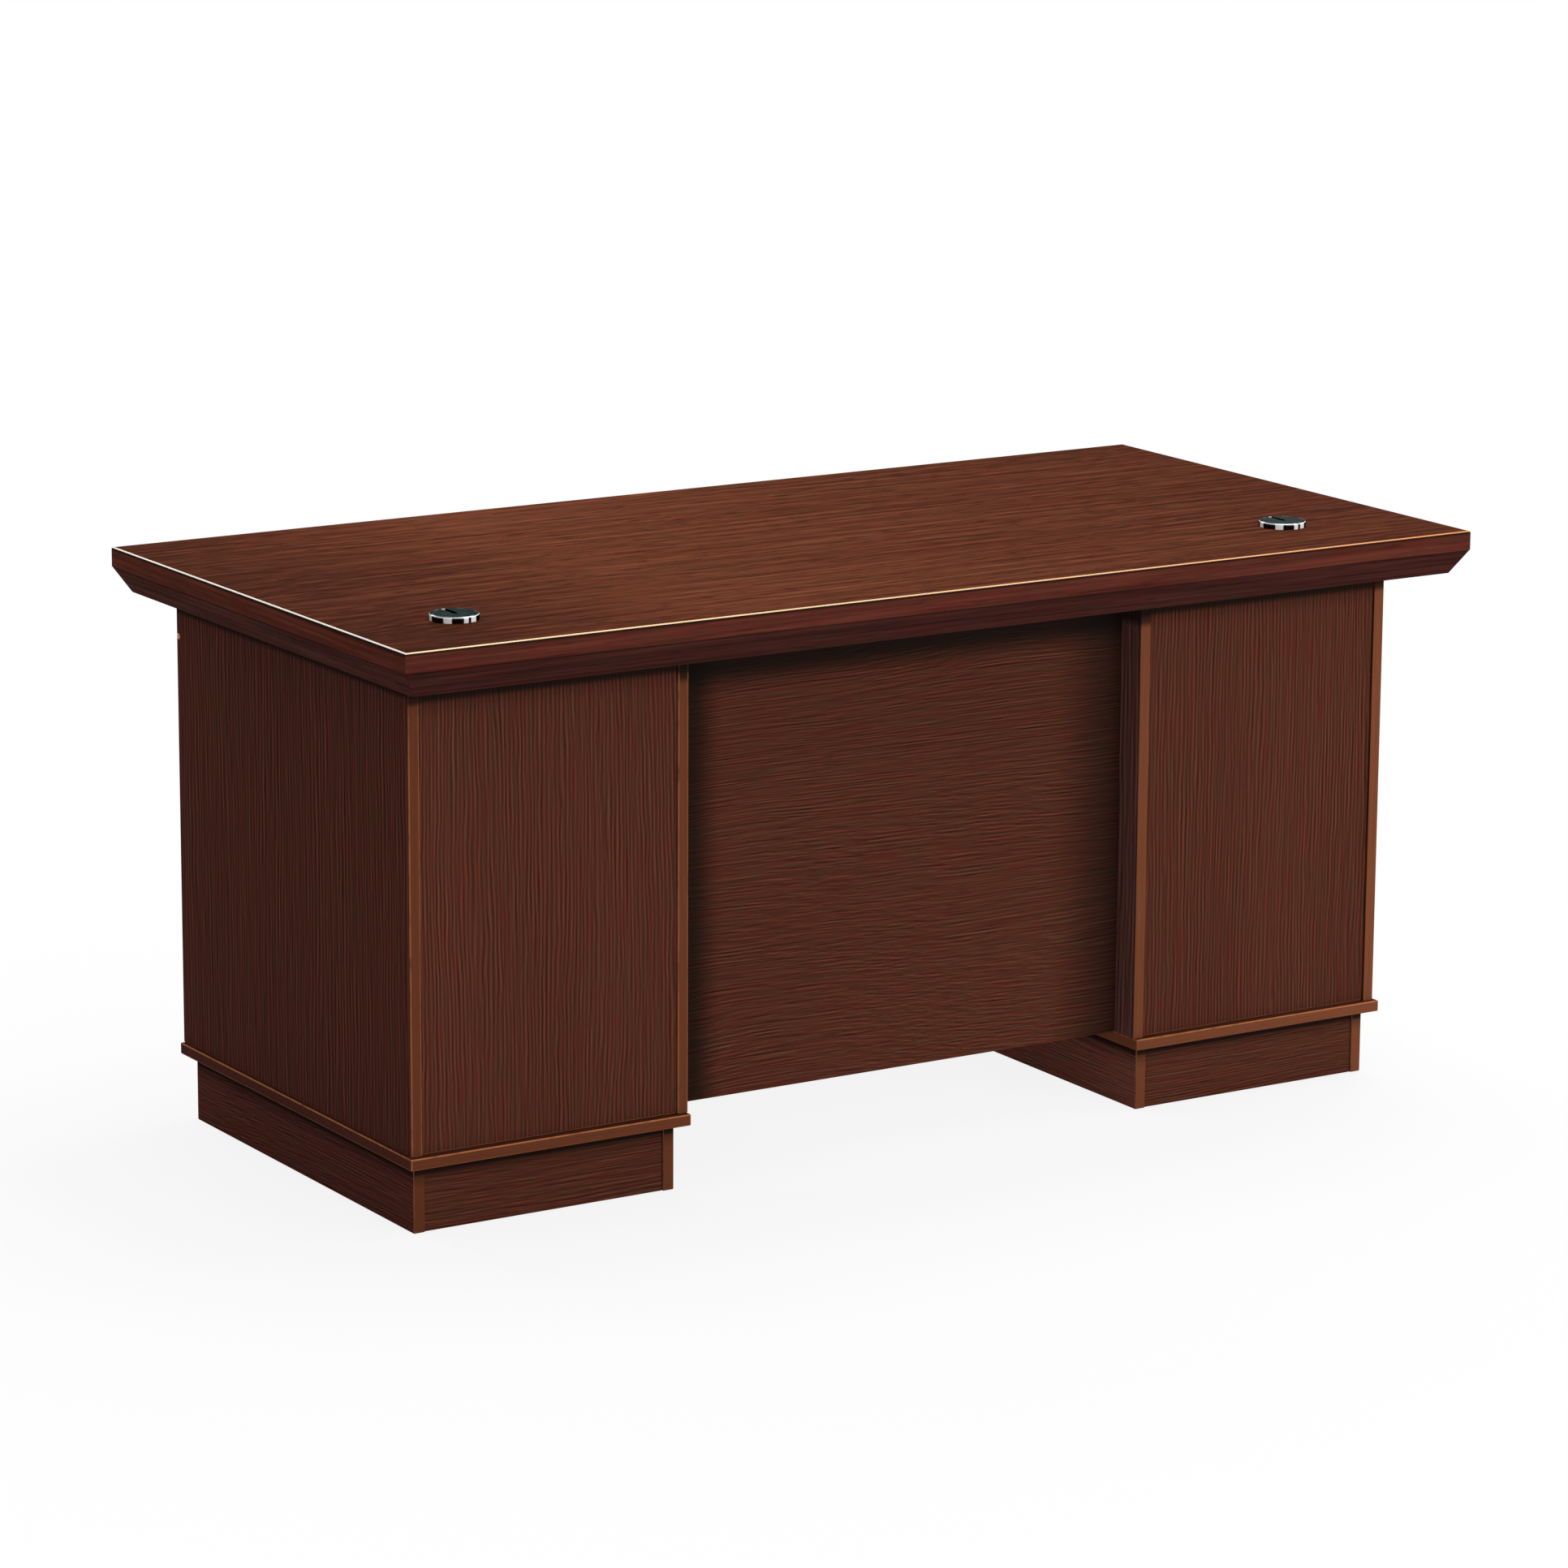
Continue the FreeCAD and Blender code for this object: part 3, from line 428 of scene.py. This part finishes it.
def grain_tone(finish, point, along, across_face, grain):
    """Tone of a veneer, from 0 on a dark line to 1 on a light ridge, and the tint of its streaks."""
    slow = figure_noise(finish, point, along, grain, SWAY_NOISE)
    quick = figure_noise(finish, point, along, grain, SOFT_NOISE, WOBBLE_RATES)
    sway = finish.span(slow, *NOISE_SPAN, -grain.sway, grain.sway)
    wobble = finish.span(quick, *NOISE_SPAN, -grain.wobble, grain.wobble)
    across = finish.join(*stretch(along, 0.0, 1.0))
    moved = finish.vector("ADD", point, finish.scale(across, finish.math("ADD", sway, wobble)))
    turns = finish.math("MULTIPLY", finish.dot(moved, across), math.tau / grain.pitch)
    patch = figure_noise(finish, point, along, grain, SOFT_NOISE, PATCH_RATES)
    strength = finish.span(patch, *PATCH_SPAN, LEAST_LINES * grain.lines, grain.lines)
    lines = finish.math("MULTIPLY", finish.math("SINE", turns), strength)
    threads = finish.times(moved, stretch(along, 1 / grain.fibre_reach, FIBRES_PER_PITCH / grain.pitch))
    beside = finish.vector("ADD", threads, stretch(across_face, grain.fibre_step, 0.0))
    fibres = finish.math("SUBTRACT", finish.noise(threads, *FIBRE_NOISE), finish.noise(beside, *FIBRE_NOISE))
    broad = figure_noise(finish, moved, along, grain, PLAIN_NOISE, FIGURE_RATES)
    middle = finish.math("MULTIPLY_ADD", broad, grain.figure, (1 - grain.figure) / 2)
    tone = finish.math("MULTIPLY_ADD", fibres, grain.fibres, middle)
    if grain.pores:
        pores = drawn_out(finish, moved, along, 1 / PORE_REACH, 1 / PORE_WIDTH, PLAIN_NOISE)
        tone = finish.math("SUBTRACT", tone, finish.span(pores, *PORE_SPAN, 0.0, grain.pores))
    streaks = drawn_out(finish, moved, along, 1 / STREAK_REACH, 1 / STREAK_WIDTH, STREAK_NOISE)
    return finish.math("ADD", lines, tone), finish.ramp(streaks, *STREAK_TINTS)


def veneer_colour(finish, tone, tint, tones):
    """Colour of a veneer, a little redder or more olive here and there."""
    dark, middle, light = tones
    plain = finish.ramp(tone, (TONE_DARK, dark), (TONE_MIDDLE, middle), (TONE_LIGHT, light))
    return finish.mix(1.0, plain, tint, "MULTIPLY")


def plain_colour(finish, tone, tones):
    """Colour of a plain board, between two tones."""
    dark, light = tones
    return finish.ramp(tone, (TONE_DARK, dark), (TONE_LIGHT, light))


def facing(finish, axis):
    """1 where the surface faces along an axis, either way."""
    return finish.math("GREATER_THAN", finish.math("ABSOLUTE", finish.split(finish.normal)[axis]), FACE_TURN)


def near(finish, value, place, full, reach, most):
    """Most within the full distance of a place along an axis, fading to 0 at its reach."""
    gap = finish.math("ABSOLUTE", finish.math("SUBTRACT", value, place))
    return finish.span(gap, full, reach, most, 0.0, "SMOOTHSTEP")


def shaded(finish, base, shades):
    """A colour with painted shade on it, each patch near a place along an axis."""
    for axis, *shade in shades:
        base = finish.mix(near(finish, finish.split(finish.point)[axis], *shade), base, SHADOW)
    return base


def lacquer(finish, roughness, coat):
    """Lacquer with no gloss of its own but a thin coat's."""
    weight, coat_roughness = coat
    finish.set(Roughness=roughness, Specular_IOR_Level=0.0)
    finish.set(Coat_Weight=weight, Coat_Roughness=coat_roughness)


def satin(finish, tone):
    """Satin lacquer over wood: little gloss, and lines that can just be felt."""
    lacquer(finish, finish.span(tone, *TONE_SPAN, *SATIN_ROUGH), SATIN_COAT)
    finish.bump(tone, *SATIN_BUMP)


def veneered_board(name, face, along, grain=STRAIGHT_CUT, tones=VENEER_TONES, shades=(), band_shades=(),
                   kneehole_lit_tones=None, end_tones=None):
    """Board with veneer on two faces, lighter banding round its edges, and painted shade where boards meet;
    boards by the kneehole can be painted lighter.
    """
    finish = Finish(name)
    across_face = next(axis for axis in "XYZ" if axis not in (along, face))
    tone, tint = grain_tone(finish, finish.point, along, across_face, grain)
    veneer = veneer_colour(finish, tone, tint, tones)
    x = finish.split(finish.point)["X"]
    kneehole = finish.math("LESS_THAN", finish.math("ABSOLUTE", x), PEDESTAL_MIDDLE)
    # Boards by the kneehole can be painted lighter, standing in for light there
    if kneehole_lit_tones:
        veneer = finish.mix(kneehole, veneer, veneer_colour(finish, tone, tint, kneehole_lit_tones))
    # Banding painted lighter towards the right end of the desk, as if lit there
    band = finish.mix(finish.span(x, *BANDING_SPAN), BANDING, BANDING_RIGHT_LIT)
    band = finish.mix(finish.span(tone, *TONE_SPAN, BANDING_GRAIN, 0.0), band, SHADOW)
    if end_tones:
        outer = finish.math("SUBTRACT", facing(finish, "X"), kneehole)
        band = finish.mix(outer, band, veneer_colour(finish, tone, tint, end_tones))
    base = finish.mix(facing(finish, face), shaded(finish, band, band_shades), veneer)
    finish.set(Base_Color=shaded(finish, base, shades))
    satin(finish, tone)
    return finish.material


def arris_finish(shades):
    """Rounded edge of the banding, with a painted highlight in random patches where it looks up, and painted
    shade.
    """
    finish = Finish("banding_arris")
    highlight_patches = finish.noise(finish.times(finish.point, HIGHLIGHT_PATCH_RATES), *PLAIN_NOISE)
    upward = finish.span(finish.split(finish.normal)["Z"], *ARRIS_LIGHT_TURN)
    lit_arris = finish.mix(upward, ARRIS_UNLIT, ARRIS_HIGHLIGHT)
    base = finish.mix(finish.span(highlight_patches, *HIGHLIGHT_PATCH_SPAN), BANDING, lit_arris)
    finish.set(Base_Color=shaded(finish, base, shades))
    lacquer(finish, finish.span(highlight_patches, *PATCH_SPAN, *ARRIS_ROUGH), ARRIS_COAT)
    return finish.material


def top_finish():
    """Smooth top: long grain with painted shade towards both ends, a painted highlight line on the eased
    upper edge, a dark line under it and a dark joint below.
    """
    finish = Finish("top_lacquer")
    low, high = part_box("top_board")
    x, y, z = finish.split(finish.point)
    end = facing(finish, "X")
    kept = finish.scale(finish.point, finish.math("SUBTRACT", 1.0, end))
    point = finish.vector("ADD", kept, finish.scale(finish.join(y, x, z), end))
    tone, tint = grain_tone(finish, point, "X", "Y", TOP_CUT)
    # Painted shade along the top, darker at both ends
    painted_shade_drift = finish.math("ADD", finish.span(x, *TOP_SHADE_RISE), finish.span(x, *TOP_SHADE_FALL))
    tone = finish.math("ADD", tone, painted_shade_drift)
    flat = finish.math("GREATER_THAN", finish.split(finish.normal)["Z"], FLAT_TURN)
    sides = veneer_colour(finish, *grain_tone(finish, point, "X", "Z", EDGE_CUT), EDGE_TONES)
    veneer = finish.mix(flat, sides, veneer_colour(finish, tone, tint, TOP_TONES))
    past = [finish.math("SUBTRACT", finish.math("ABSOLUTE", value), edge - TOP_EDGE_ROUND)
            for value, edge in ((x, high.x), (y, high.y))]
    eased = finish.math("GREATER_THAN", finish.math("MAXIMUM", *past), EASE_START)
    line = finish.math("MULTIPLY", eased, finish.math("GREATER_THAN", z, high.z - LINE_DEPTH))
    shade = finish.math("MULTIPLY", eased, finish.math("GREATER_THAN", z, high.z - LINE_SHADE_DEPTH))
    foot = near(finish, z, low.z, *TOP_JOINT_SHADE)
    dark = finish.math("MAXIMUM", finish.math("MULTIPLY", shade, LINE_SHADE), foot)
    # Painted highlight line along the eased upper edge
    edge_highlight = finish.mix(finish.span(x, low.x, high.x), HIGHLIGHT_LEFT, HIGHLIGHT_RIGHT)
    edge_highlight = finish.mix(finish.math("LESS_THAN", x, low.x + TOP_EDGE_ROUND), edge_highlight, HIGHLIGHT_END)
    finish.set(Base_Color=finish.mix(line, finish.mix(dark, veneer, SHADOW), edge_highlight))
    lacquer(finish, finish.span(tone, *TONE_SPAN, *TOP_ROUGH), TOP_COAT)
    finish.bump(tone, *TOP_BUMP)
    return finish.material


def strip_finish(name, along, tones):
    """Bevelled strip under the top, its grain along its length."""
    finish = Finish(name)
    tone, tint = grain_tone(finish, finish.point, along, "Z", EDGE_CUT)
    finish.set(Base_Color=veneer_colour(finish, tone, tint, tones))
    satin(finish, tone)
    return finish.material


def plain_board(name, along, across_face, tones):
    """Plain board with a faint grain: pale for the drawer boxes, brown for the shelf and rails."""
    finish = Finish(name)
    tone, _ = grain_tone(finish, finish.point, along, across_face, STRAIGHT_CUT)
    finish.set(Base_Color=plain_colour(finish, tone, tones))
    satin(finish, tone)
    return finish.material


def metal(name, colours, rough, marks_per_metre=PLATE_MARKS):
    """Plated metal with faint stains and brush marks in its gloss."""
    finish = Finish(name)
    marks = finish.noise(finish.times(finish.point, marks_per_metre), *METAL_NOISE)
    finish.set(Base_Color=finish.mix(finish.span(marks, *STAIN_SPAN), *colours), Metallic=1.0)
    finish.set(Roughness=finish.span(marks, *MARK_SPAN, *rough))
    finish.bump(marks, *METAL_BUMP)
    return finish.material


def outlet_chrome():
    """Chrome of the cable outlets with painted reflections: grey polished tops painted dark, and dark rims
    with painted highlight bars and a painted glint.
    """
    finish = Finish("outlet_chrome")
    x, y, z = finish.split(finish.normal)
    turn = finish.math("FLOORED_MODULO", finish.math("ARCTAN2", y, x), math.pi)
    upward = finish.span(z, *RIM_TURN)
    wall = finish.math("SUBTRACT", 1.0, upward)
    # Painted glint on the rounding and painted highlight bars on the walls
    painted_highlight = near(finish, z, *RIM_GLINT)
    for middle, half in RIM_HIGHLIGHT_BARS:
        full, reach = (math.radians(share * half) for share in BAR_SHARES)
        bar = near(finish, turn, math.radians(middle), full, reach, 1.0)
        painted_highlight = finish.math("MAXIMUM", painted_highlight, finish.math("MULTIPLY", bar, wall))
    marks = finish.noise(finish.times(finish.point, OUTLET_MARKS), *METAL_NOISE)
    face = finish.mix(finish.span(marks, *PATCH_SPAN), LID_REFLECTION_DARK, LID_REFLECTION_LIGHT)
    # Painted dark reflection on the walls and the grey tops
    base = finish.mix(painted_highlight, finish.mix(upward, RIM_DARK_REFLECTION, face), RIM_HIGHLIGHT)
    finish.set(Base_Color=base, Specular_Tint=LID_EDGE_ON)
    finish.set(Metallic=finish.span(painted_highlight, 0.0, 1.0, 1.0, HIGHLIGHT_METAL_SHARE))
    finish.set(Roughness=finish.span(marks, *MARK_SPAN, *OUTLET_ROUGH))
    finish.bump(marks, *OUTLET_BUMP)
    return finish.material


def each(names, *endings):
    """Node names made of every name with every ending."""
    return [f"{name}_{ending}" for name in names for ending in endings]


def dress(nodes, material, arris=0.0, arris_material=None):
    """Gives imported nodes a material, and rounds their sharp edges."""
    for name in nodes:
        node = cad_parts[name]
        node.material_slots[0].material = material
        if not arris:
            continue
        weld = node.modifiers.new("weld", "WELD")
        weld.merge_threshold = WELD_REACH
        bevel = node.modifiers.new("arris", "BEVEL")
        bevel.width = arris
        bevel.segments = ARRIS_STEPS
        bevel.limit_method = "ANGLE"
        bevel.angle_limit = ARRIS_ANGLE
        bevel.harden_normals = True
        if arris_material:
            node.data.materials.append(arris_material)
            bevel.material = 1


def dress_boards():
    """Boards in their veneers, and plain boards inside."""
    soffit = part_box("edge_strip_visitor")[0].z
    plinth_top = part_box("left_plinth_ends")[1].z
    left, right = (corner.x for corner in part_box("modesty_panel"))
    # Painted shade under the top, its strips and the pedestals' lips, and in the kneehole's corners
    under_side = [("Z", soffit, *SIDE_SHADE)]
    under_inner = [("Z", soffit, *INNER_SHADE)]
    under_band = [("Z", soffit, *BAND_SHADE)]
    under_front = [("Z", soffit, *shade) for shade in FRONT_SHADES]
    under_lip = [("Z", plinth_top, *shade) for shade in PLINTH_SHADES]
    corners = [("X", left, *LEFT_CORNER_SHADE), ("X", right, *RIGHT_CORNER_SHADE)]
    kneehole = [("Z", soffit, *KNEEHOLE_SHADE), *corners]
    arris = arris_finish(under_band)
    side = veneered_board("side_veneer", "X", "Z", SIDE_CUT, SIDE_SHADED_TONES, under_side, under_band)
    inner = veneered_board("inner_veneer", "X", "Z", SIDE_CUT, INNER_LIT_TONES, under_inner, under_band)
    visitor = veneered_board("visitor_veneer", "Y", "Z", tones=PANEL_TONES, shades=under_front)
    front = veneered_board("front_veneer", "Y", "Z")
    rail = veneered_board("rail_veneer", "Y", "X")
    modesty = veneered_board("modesty_veneer", "Y", "X", CROWN_CUT, shades=kneehole)
    # The bottom boards' end edges take the sides' painted-shade tones
    flat = veneered_board("flat_veneer", "Z", "X", end_tones=SIDE_SHADED_TONES)
    plinth_side = veneered_board("plinth_side_veneer", "X", "Y", CROWN_CUT, PLINTH_TONES, under_lip,
                                 kneehole_lit_tones=FOOT_LIT_TONES)
    plinth_end = veneered_board("plinth_end_veneer", "Y", "X", CROWN_CUT, shades=under_lip)
    strip_long = strip_finish("strip_long", "X", STRIP_TONES)
    strip_short = strip_finish("strip_short", "Y", END_STRIP_LIT_TONES)
    melamine = plain_board("melamine", "X", "Y", MELAMINE_TONES)
    dress(["top_board"], top_finish())
    dress(["edge_strip_visitor", "edge_strip_user"], strip_long, BOARD_ARRIS)
    dress(["edge_strip_left", "edge_strip_right"], strip_short, BOARD_ARRIS)
    dress(each(SIDES, "outer_side"), side, BOARD_ARRIS, arris)
    dress(each(SIDES, "inner_side"), inner, BOARD_ARRIS, arris)
    dress(each(SIDES, "visitor_panel"), visitor, BOARD_ARRIS, arris)
    dress(each(DRAWERS, "front") + ["door_panel"], front, BOARD_ARRIS, arris)
    dress(each(SIDES, "fascia"), rail, BOARD_ARRIS, arris)
    dress(["modesty_panel"], modesty, BOARD_ARRIS)
    dress(each(SIDES, "bottom_board") + ["right_divider"], flat, BOARD_ARRIS, arris)
    dress(each(SIDES, "plinth_sides"), plinth_side, BOARD_ARRIS, arris)
    dress(each(SIDES, "plinth_ends"), plinth_end, BOARD_ARRIS)
    dress(["right_shelf"] + each(SIDES, "top_rails"), melamine, BOARD_ARRIS)
    dress(each(DRAWERS, "walls", "bottom"), plain_board("drawer_grain", "Y", "Z", PALE_TONES))


def dress_fittings(chrome, zinc):
    """Handles, outlets, slides, screws, pins, hinges and the side's cap in their metals."""
    dress(each(DRAWERS, "handle") + ["door_handle"], chrome)
    dress(each(SIDES, "outlet_ring", "outlet_lid"), outlet_chrome())
    dress(each(DRAWERS, "runners") + each(SIDES, "slide_channels") + ["modesty_brackets"], zinc, STEEL_ARRIS)
    dress(["top_screws", "right_shelf_pins"], zinc)
    dress(["hinge_fixed_leaves", "hinge_moving_leaves", "hinge_pins"], zinc)
    dress(["left_side_cap"], metal("brass", BRASS, BRASS_ROUGH))


def facing_out(place, way):
    """Turns a piece made along Z so that it stands at a place and points a way."""
    return Matrix.Translation(place) @ Vector(way).to_track_quat("Z", "Y").to_matrix().to_4x4()


def circle(shape, matrix, radius, height, steps):
    """Ring of points about the axis of a fitting."""
    turns = [math.tau * step / steps for step in range(steps)]
    return [shape.verts.new(matrix @ Vector((radius * math.cos(turn), radius * math.sin(turn), height)))
            for turn in turns]


def skin(shape, first, second):
    """Faces between two rings with as many points."""
    for index in range(len(first)):
        shape.faces.new((first[index - 1], first[index], second[index], second[index - 1]))


def edge_between(shape, first, second):
    """Edge between two points, made if it isn't there yet."""
    return shape.edges.get((first, second)) or shape.edges.new((first, second))


def add_collar(shape, matrix):
    """Turned collar round the foot of a handle."""
    rings = [circle(shape, matrix, *point, COLLAR_STEPS) for point in COLLAR_OUTLINE]
    for index in range(len(rings)):
        skin(shape, rings[index - 1], rings[index])


def add_screw(shape, matrix, radius, height):
    """Head of a screw with a cross sunk into it."""
    rings = [circle(shape, matrix, radius * share, height * rise, HEAD_STEPS)
             for share, rise in HEAD_OUTLINE]
    for first, second in zip(rings, rings[1:]):
        skin(shape, first, second)
    shape.faces.new(rings[0])
    long, short = radius * CROSS_REACH, radius * CROSS_WIDTH
    arm = ((short, short), (short, long), (-short, long))
    corners = [Matrix.Rotation(quarter * math.tau / CROSS_ARMS, 3, "Z") @ Vector((*point, 0))
               for quarter in range(CROSS_ARMS) for point in arm]
    mouth, floor = ([shape.verts.new(matrix @ (corner + Vector((0, 0, level)))) for corner in corners]
                    for level in (height, height * (1 - CROSS_DEPTH)))
    skin(shape, mouth, floor)
    shape.faces.new(floor)
    edges = [edge_between(shape, ring[index - 1], ring[index])
             for ring in (rings[-1], mouth) for index in range(len(ring))]
    bmesh.ops.triangle_fill(shape, use_beauty=True, edges=edges)


def fitting(name, body, material, add, places):
    """One piece with the same small fitting at several places."""
    shape = bmesh.new()
    for place, way, *sizes in places:
        add(shape, facing_out(place, way), *sizes)
    bmesh.ops.recalc_face_normals(shape, faces=shape.faces)
    mesh = bpy.data.meshes.new(name)
    shape.to_mesh(mesh)
    shape.free()
    for face in mesh.polygons:
        face.use_smooth = True
    mesh.set_sharp_from_angle(angle=FLAT_ANGLE)
    mesh.materials.append(material)
    piece = bpy.data.objects.new(name, mesh)
    bpy.context.scene.collection.objects.link(piece)
    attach(piece, body)


def add_collars(chrome):
    """Collars at both feet of every handle."""
    handles = [(name, f"{name}_handle") for name in DRAWERS] + [("cupboard_door", "door_handle")]
    for body, node in handles:
        low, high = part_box(node)
        middle = (low + high) / 2
        if high.z - low.z > high.x - low.x:
            bar = (high.x - low.x) / 2
            feet = [(middle.x, low.y, low.z + bar), (middle.x, low.y, high.z - bar)]
        else:
            bar = (high.z - low.z) / 2
            feet = [(low.x + bar, low.y, middle.z), (high.x - bar, low.y, middle.z)]
        places = [(Vector(foot), USER_WAY) for foot in feet]
        fitting(f"{node}_collars", body, chrome, add_collar, places)


def add_bracket_screws(zinc):
    """Screws in both arms of the brackets behind the modesty panel."""
    low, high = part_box("modesty_brackets")
    places = []
    for level in (low.z + BRACKET_HALF_WIDTH, high.z - BRACKET_HALF_WIDTH):
        for inset in BRACKET_SCREW_INSETS:
            for edge, inward in ((low.x, 1), (high.x, -1)):
                side_arm = (edge + inward * BRACKET_STEEL, low.y + inset, level)
                panel_arm = (edge + inward * inset, low.y + BRACKET_STEEL, level)
                places.append((side_arm, (inward, 0, 0), *PAN_HEAD))
                places.append((panel_arm, USER_WAY, *PAN_HEAD))
    fitting("bracket_screws", "desk", zinc, add_screw, places)


def add_hinge_screws(zinc):
    """Flush screws in the fixed and moving leaves of the hinges."""
    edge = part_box("door_panel")[1].y
    leaves = (("hinge_fixed_leaves", "desk", -1), ("hinge_moving_leaves", "cupboard_door", 1))
    for node, body, way in leaves:
        low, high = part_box(node)
        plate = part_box("right_outer_side")[0].x if way < 0 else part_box("door_panel")[1].x
        seat = plate + way * HINGE_LEAF
        depth = (low.y + edge) / 2
        places = [((seat, depth, start + share * HINGE_HEIGHT), (way, 0, 0), *FLUSH_HEAD)
                  for start in (low.z, high.z - HINGE_HEIGHT) for share in HINGE_SCREW_SHARES]
        fitting(f"{node}_screws", body, zinc, add_screw, places)


def add_runner_screws(zinc):
    """Screws in the runners on both walls of every drawer."""
    for drawer in DRAWERS:
        low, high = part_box(f"{drawer}_runners")
        first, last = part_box(f"{drawer}_walls")
        level = (low.z + high.z) / 2
        places = [((seat, low.y + share * (high.y - low.y), level), (way, 0, 0), *PAN_HEAD)
                  for seat, way in ((first.x - RUNNER_STEEL, -1), (last.x + RUNNER_STEEL, 1))
                  for share in RUNNER_SCREW_SHARES]
        fitting(f"{drawer}_runner_screws", drawer, zinc, add_screw, places)


def seen(nodes, links):
    """1 on rays that show the background: from the camera, or off metal or glass."""
    path = nodes.new("ShaderNodeLightPath")
    total = path.outputs["Is Camera Ray"]
    for name in ("Is Glossy Ray", "Is Transmission Ray"):
        node = nodes.new("ShaderNodeMath")
        node.operation = "MAXIMUM"
        links.new(total, node.inputs[0])
        links.new(path.outputs[name], node.inputs[1])
        total = node.outputs[0]
    return total


def make_world():
    """White surroundings that light the desk softly."""
    world = bpy.data.worlds.new("studio")
    bpy.context.scene.world = world
    world.use_nodes = True
    nodes, links = world.node_tree.nodes, world.node_tree.links
    strength = nodes.new("ShaderNodeMapRange")
    links.new(seen(nodes, links), strength.inputs["Value"])
    strength.inputs["To Min"].default_value = AMBIENT_STRENGTH
    strength.inputs["To Max"].default_value = SEEN_STRENGTH
    background = nodes["Background"]
    background.inputs["Color"].default_value = WHITE
    links.new(strength.outputs["Result"], background.inputs["Strength"])


def make_floor():
    """White floor that keeps the desk's shadow close to it and clears to white further out."""
    mesh = bpy.data.meshes.new("floor")
    corners = [(-FLOOR_HALF, -FLOOR_HALF, 0), (FLOOR_HALF, -FLOOR_HALF, 0),
               (FLOOR_HALF, FLOOR_HALF, 0), (-FLOOR_HALF, FLOOR_HALF, 0)]
    mesh.from_pydata(corners, [], [(0, 1, 2, 3)])
    floor = bpy.data.objects.new("floor", mesh)
    bpy.context.scene.collection.objects.link(floor)
    finish = Finish("floor_white")
    away = finish.vector("LENGTH", finish.point).node.outputs["Value"]
    share = finish.span(away, FLOOR_CLEAR_START, FLOOR_CLEAR_END, FLOOR_NEAR_SHARE, 1.0)
    fade = finish.math("MULTIPLY", share, seen(finish.nodes, finish.links))
    glow = finish.nodes.new("ShaderNodeEmission")
    matte = finish.nodes.new("ShaderNodeBsdfDiffuse")
    matte.inputs["Color"].default_value = FLOOR_GREY
    blend = finish.nodes.new("ShaderNodeMixShader")
    finish.fill(blend.inputs, (fade, matte.outputs[0], glow.outputs[0]))
    finish.put(finish.nodes["Material Output"].inputs["Surface"], blend.outputs[0])
    mesh.materials.append(finish.material)


def add_lamp(name, place, target, size, power):
    """Soft oblong light aimed at a point."""
    data = bpy.data.lights.new(name, "AREA")
    data.shape = "RECTANGLE"
    data.size, data.size_y = size
    data.energy = power
    lamp = bpy.data.objects.new(name, data)
    bpy.context.scene.collection.objects.link(lamp)
    lamp.location = place
    lamp.rotation_euler = (Vector(target) - Vector(place)).to_track_quat("-Z", "Y").to_euler()


def add_camera():
    """Camera at the photograph's place, turned and rolled as it was."""
    data = bpy.data.cameras.new("camera")
    data.sensor_fit = "HORIZONTAL"
    data.sensor_width = CAMERA_SENSOR_MM
    data.lens = CAMERA_LENS_MM
    camera = bpy.data.objects.new("camera", data)
    bpy.context.scene.collection.objects.link(camera)
    level = math.cos(CAMERA_ELEVATION)
    back = Vector((math.sin(CAMERA_AZIMUTH) * level, -math.cos(CAMERA_AZIMUTH) * level,
                   math.sin(CAMERA_ELEVATION)))
    right = Vector((math.cos(CAMERA_AZIMUTH), math.sin(CAMERA_AZIMUTH), 0))
    turn = Matrix((right, back.cross(right), back)).transposed() @ Matrix.Rotation(CAMERA_ROLL, 3, "Z")
    camera.matrix_world = Matrix.Translation(CAMERA_PLACE) @ turn.to_4x4()
    bpy.context.scene.camera = camera


bpy.context.scene.view_settings.view_transform = "Standard"
bright_chrome = metal("chrome", CHROME, CHROME_ROUGH)
zinc_steel = metal("zinc", ZINC, ZINC_ROUGH, BRUSH_MARKS)
dress_boards()
dress_fittings(bright_chrome, zinc_steel)
add_collars(bright_chrome)
add_bracket_screws(zinc_steel)
add_hinge_screws(zinc_steel)
add_runner_screws(zinc_steel)
make_world()
make_floor()
for lamp_values in LAMPS:
    add_lamp(*lamp_values)
add_camera()
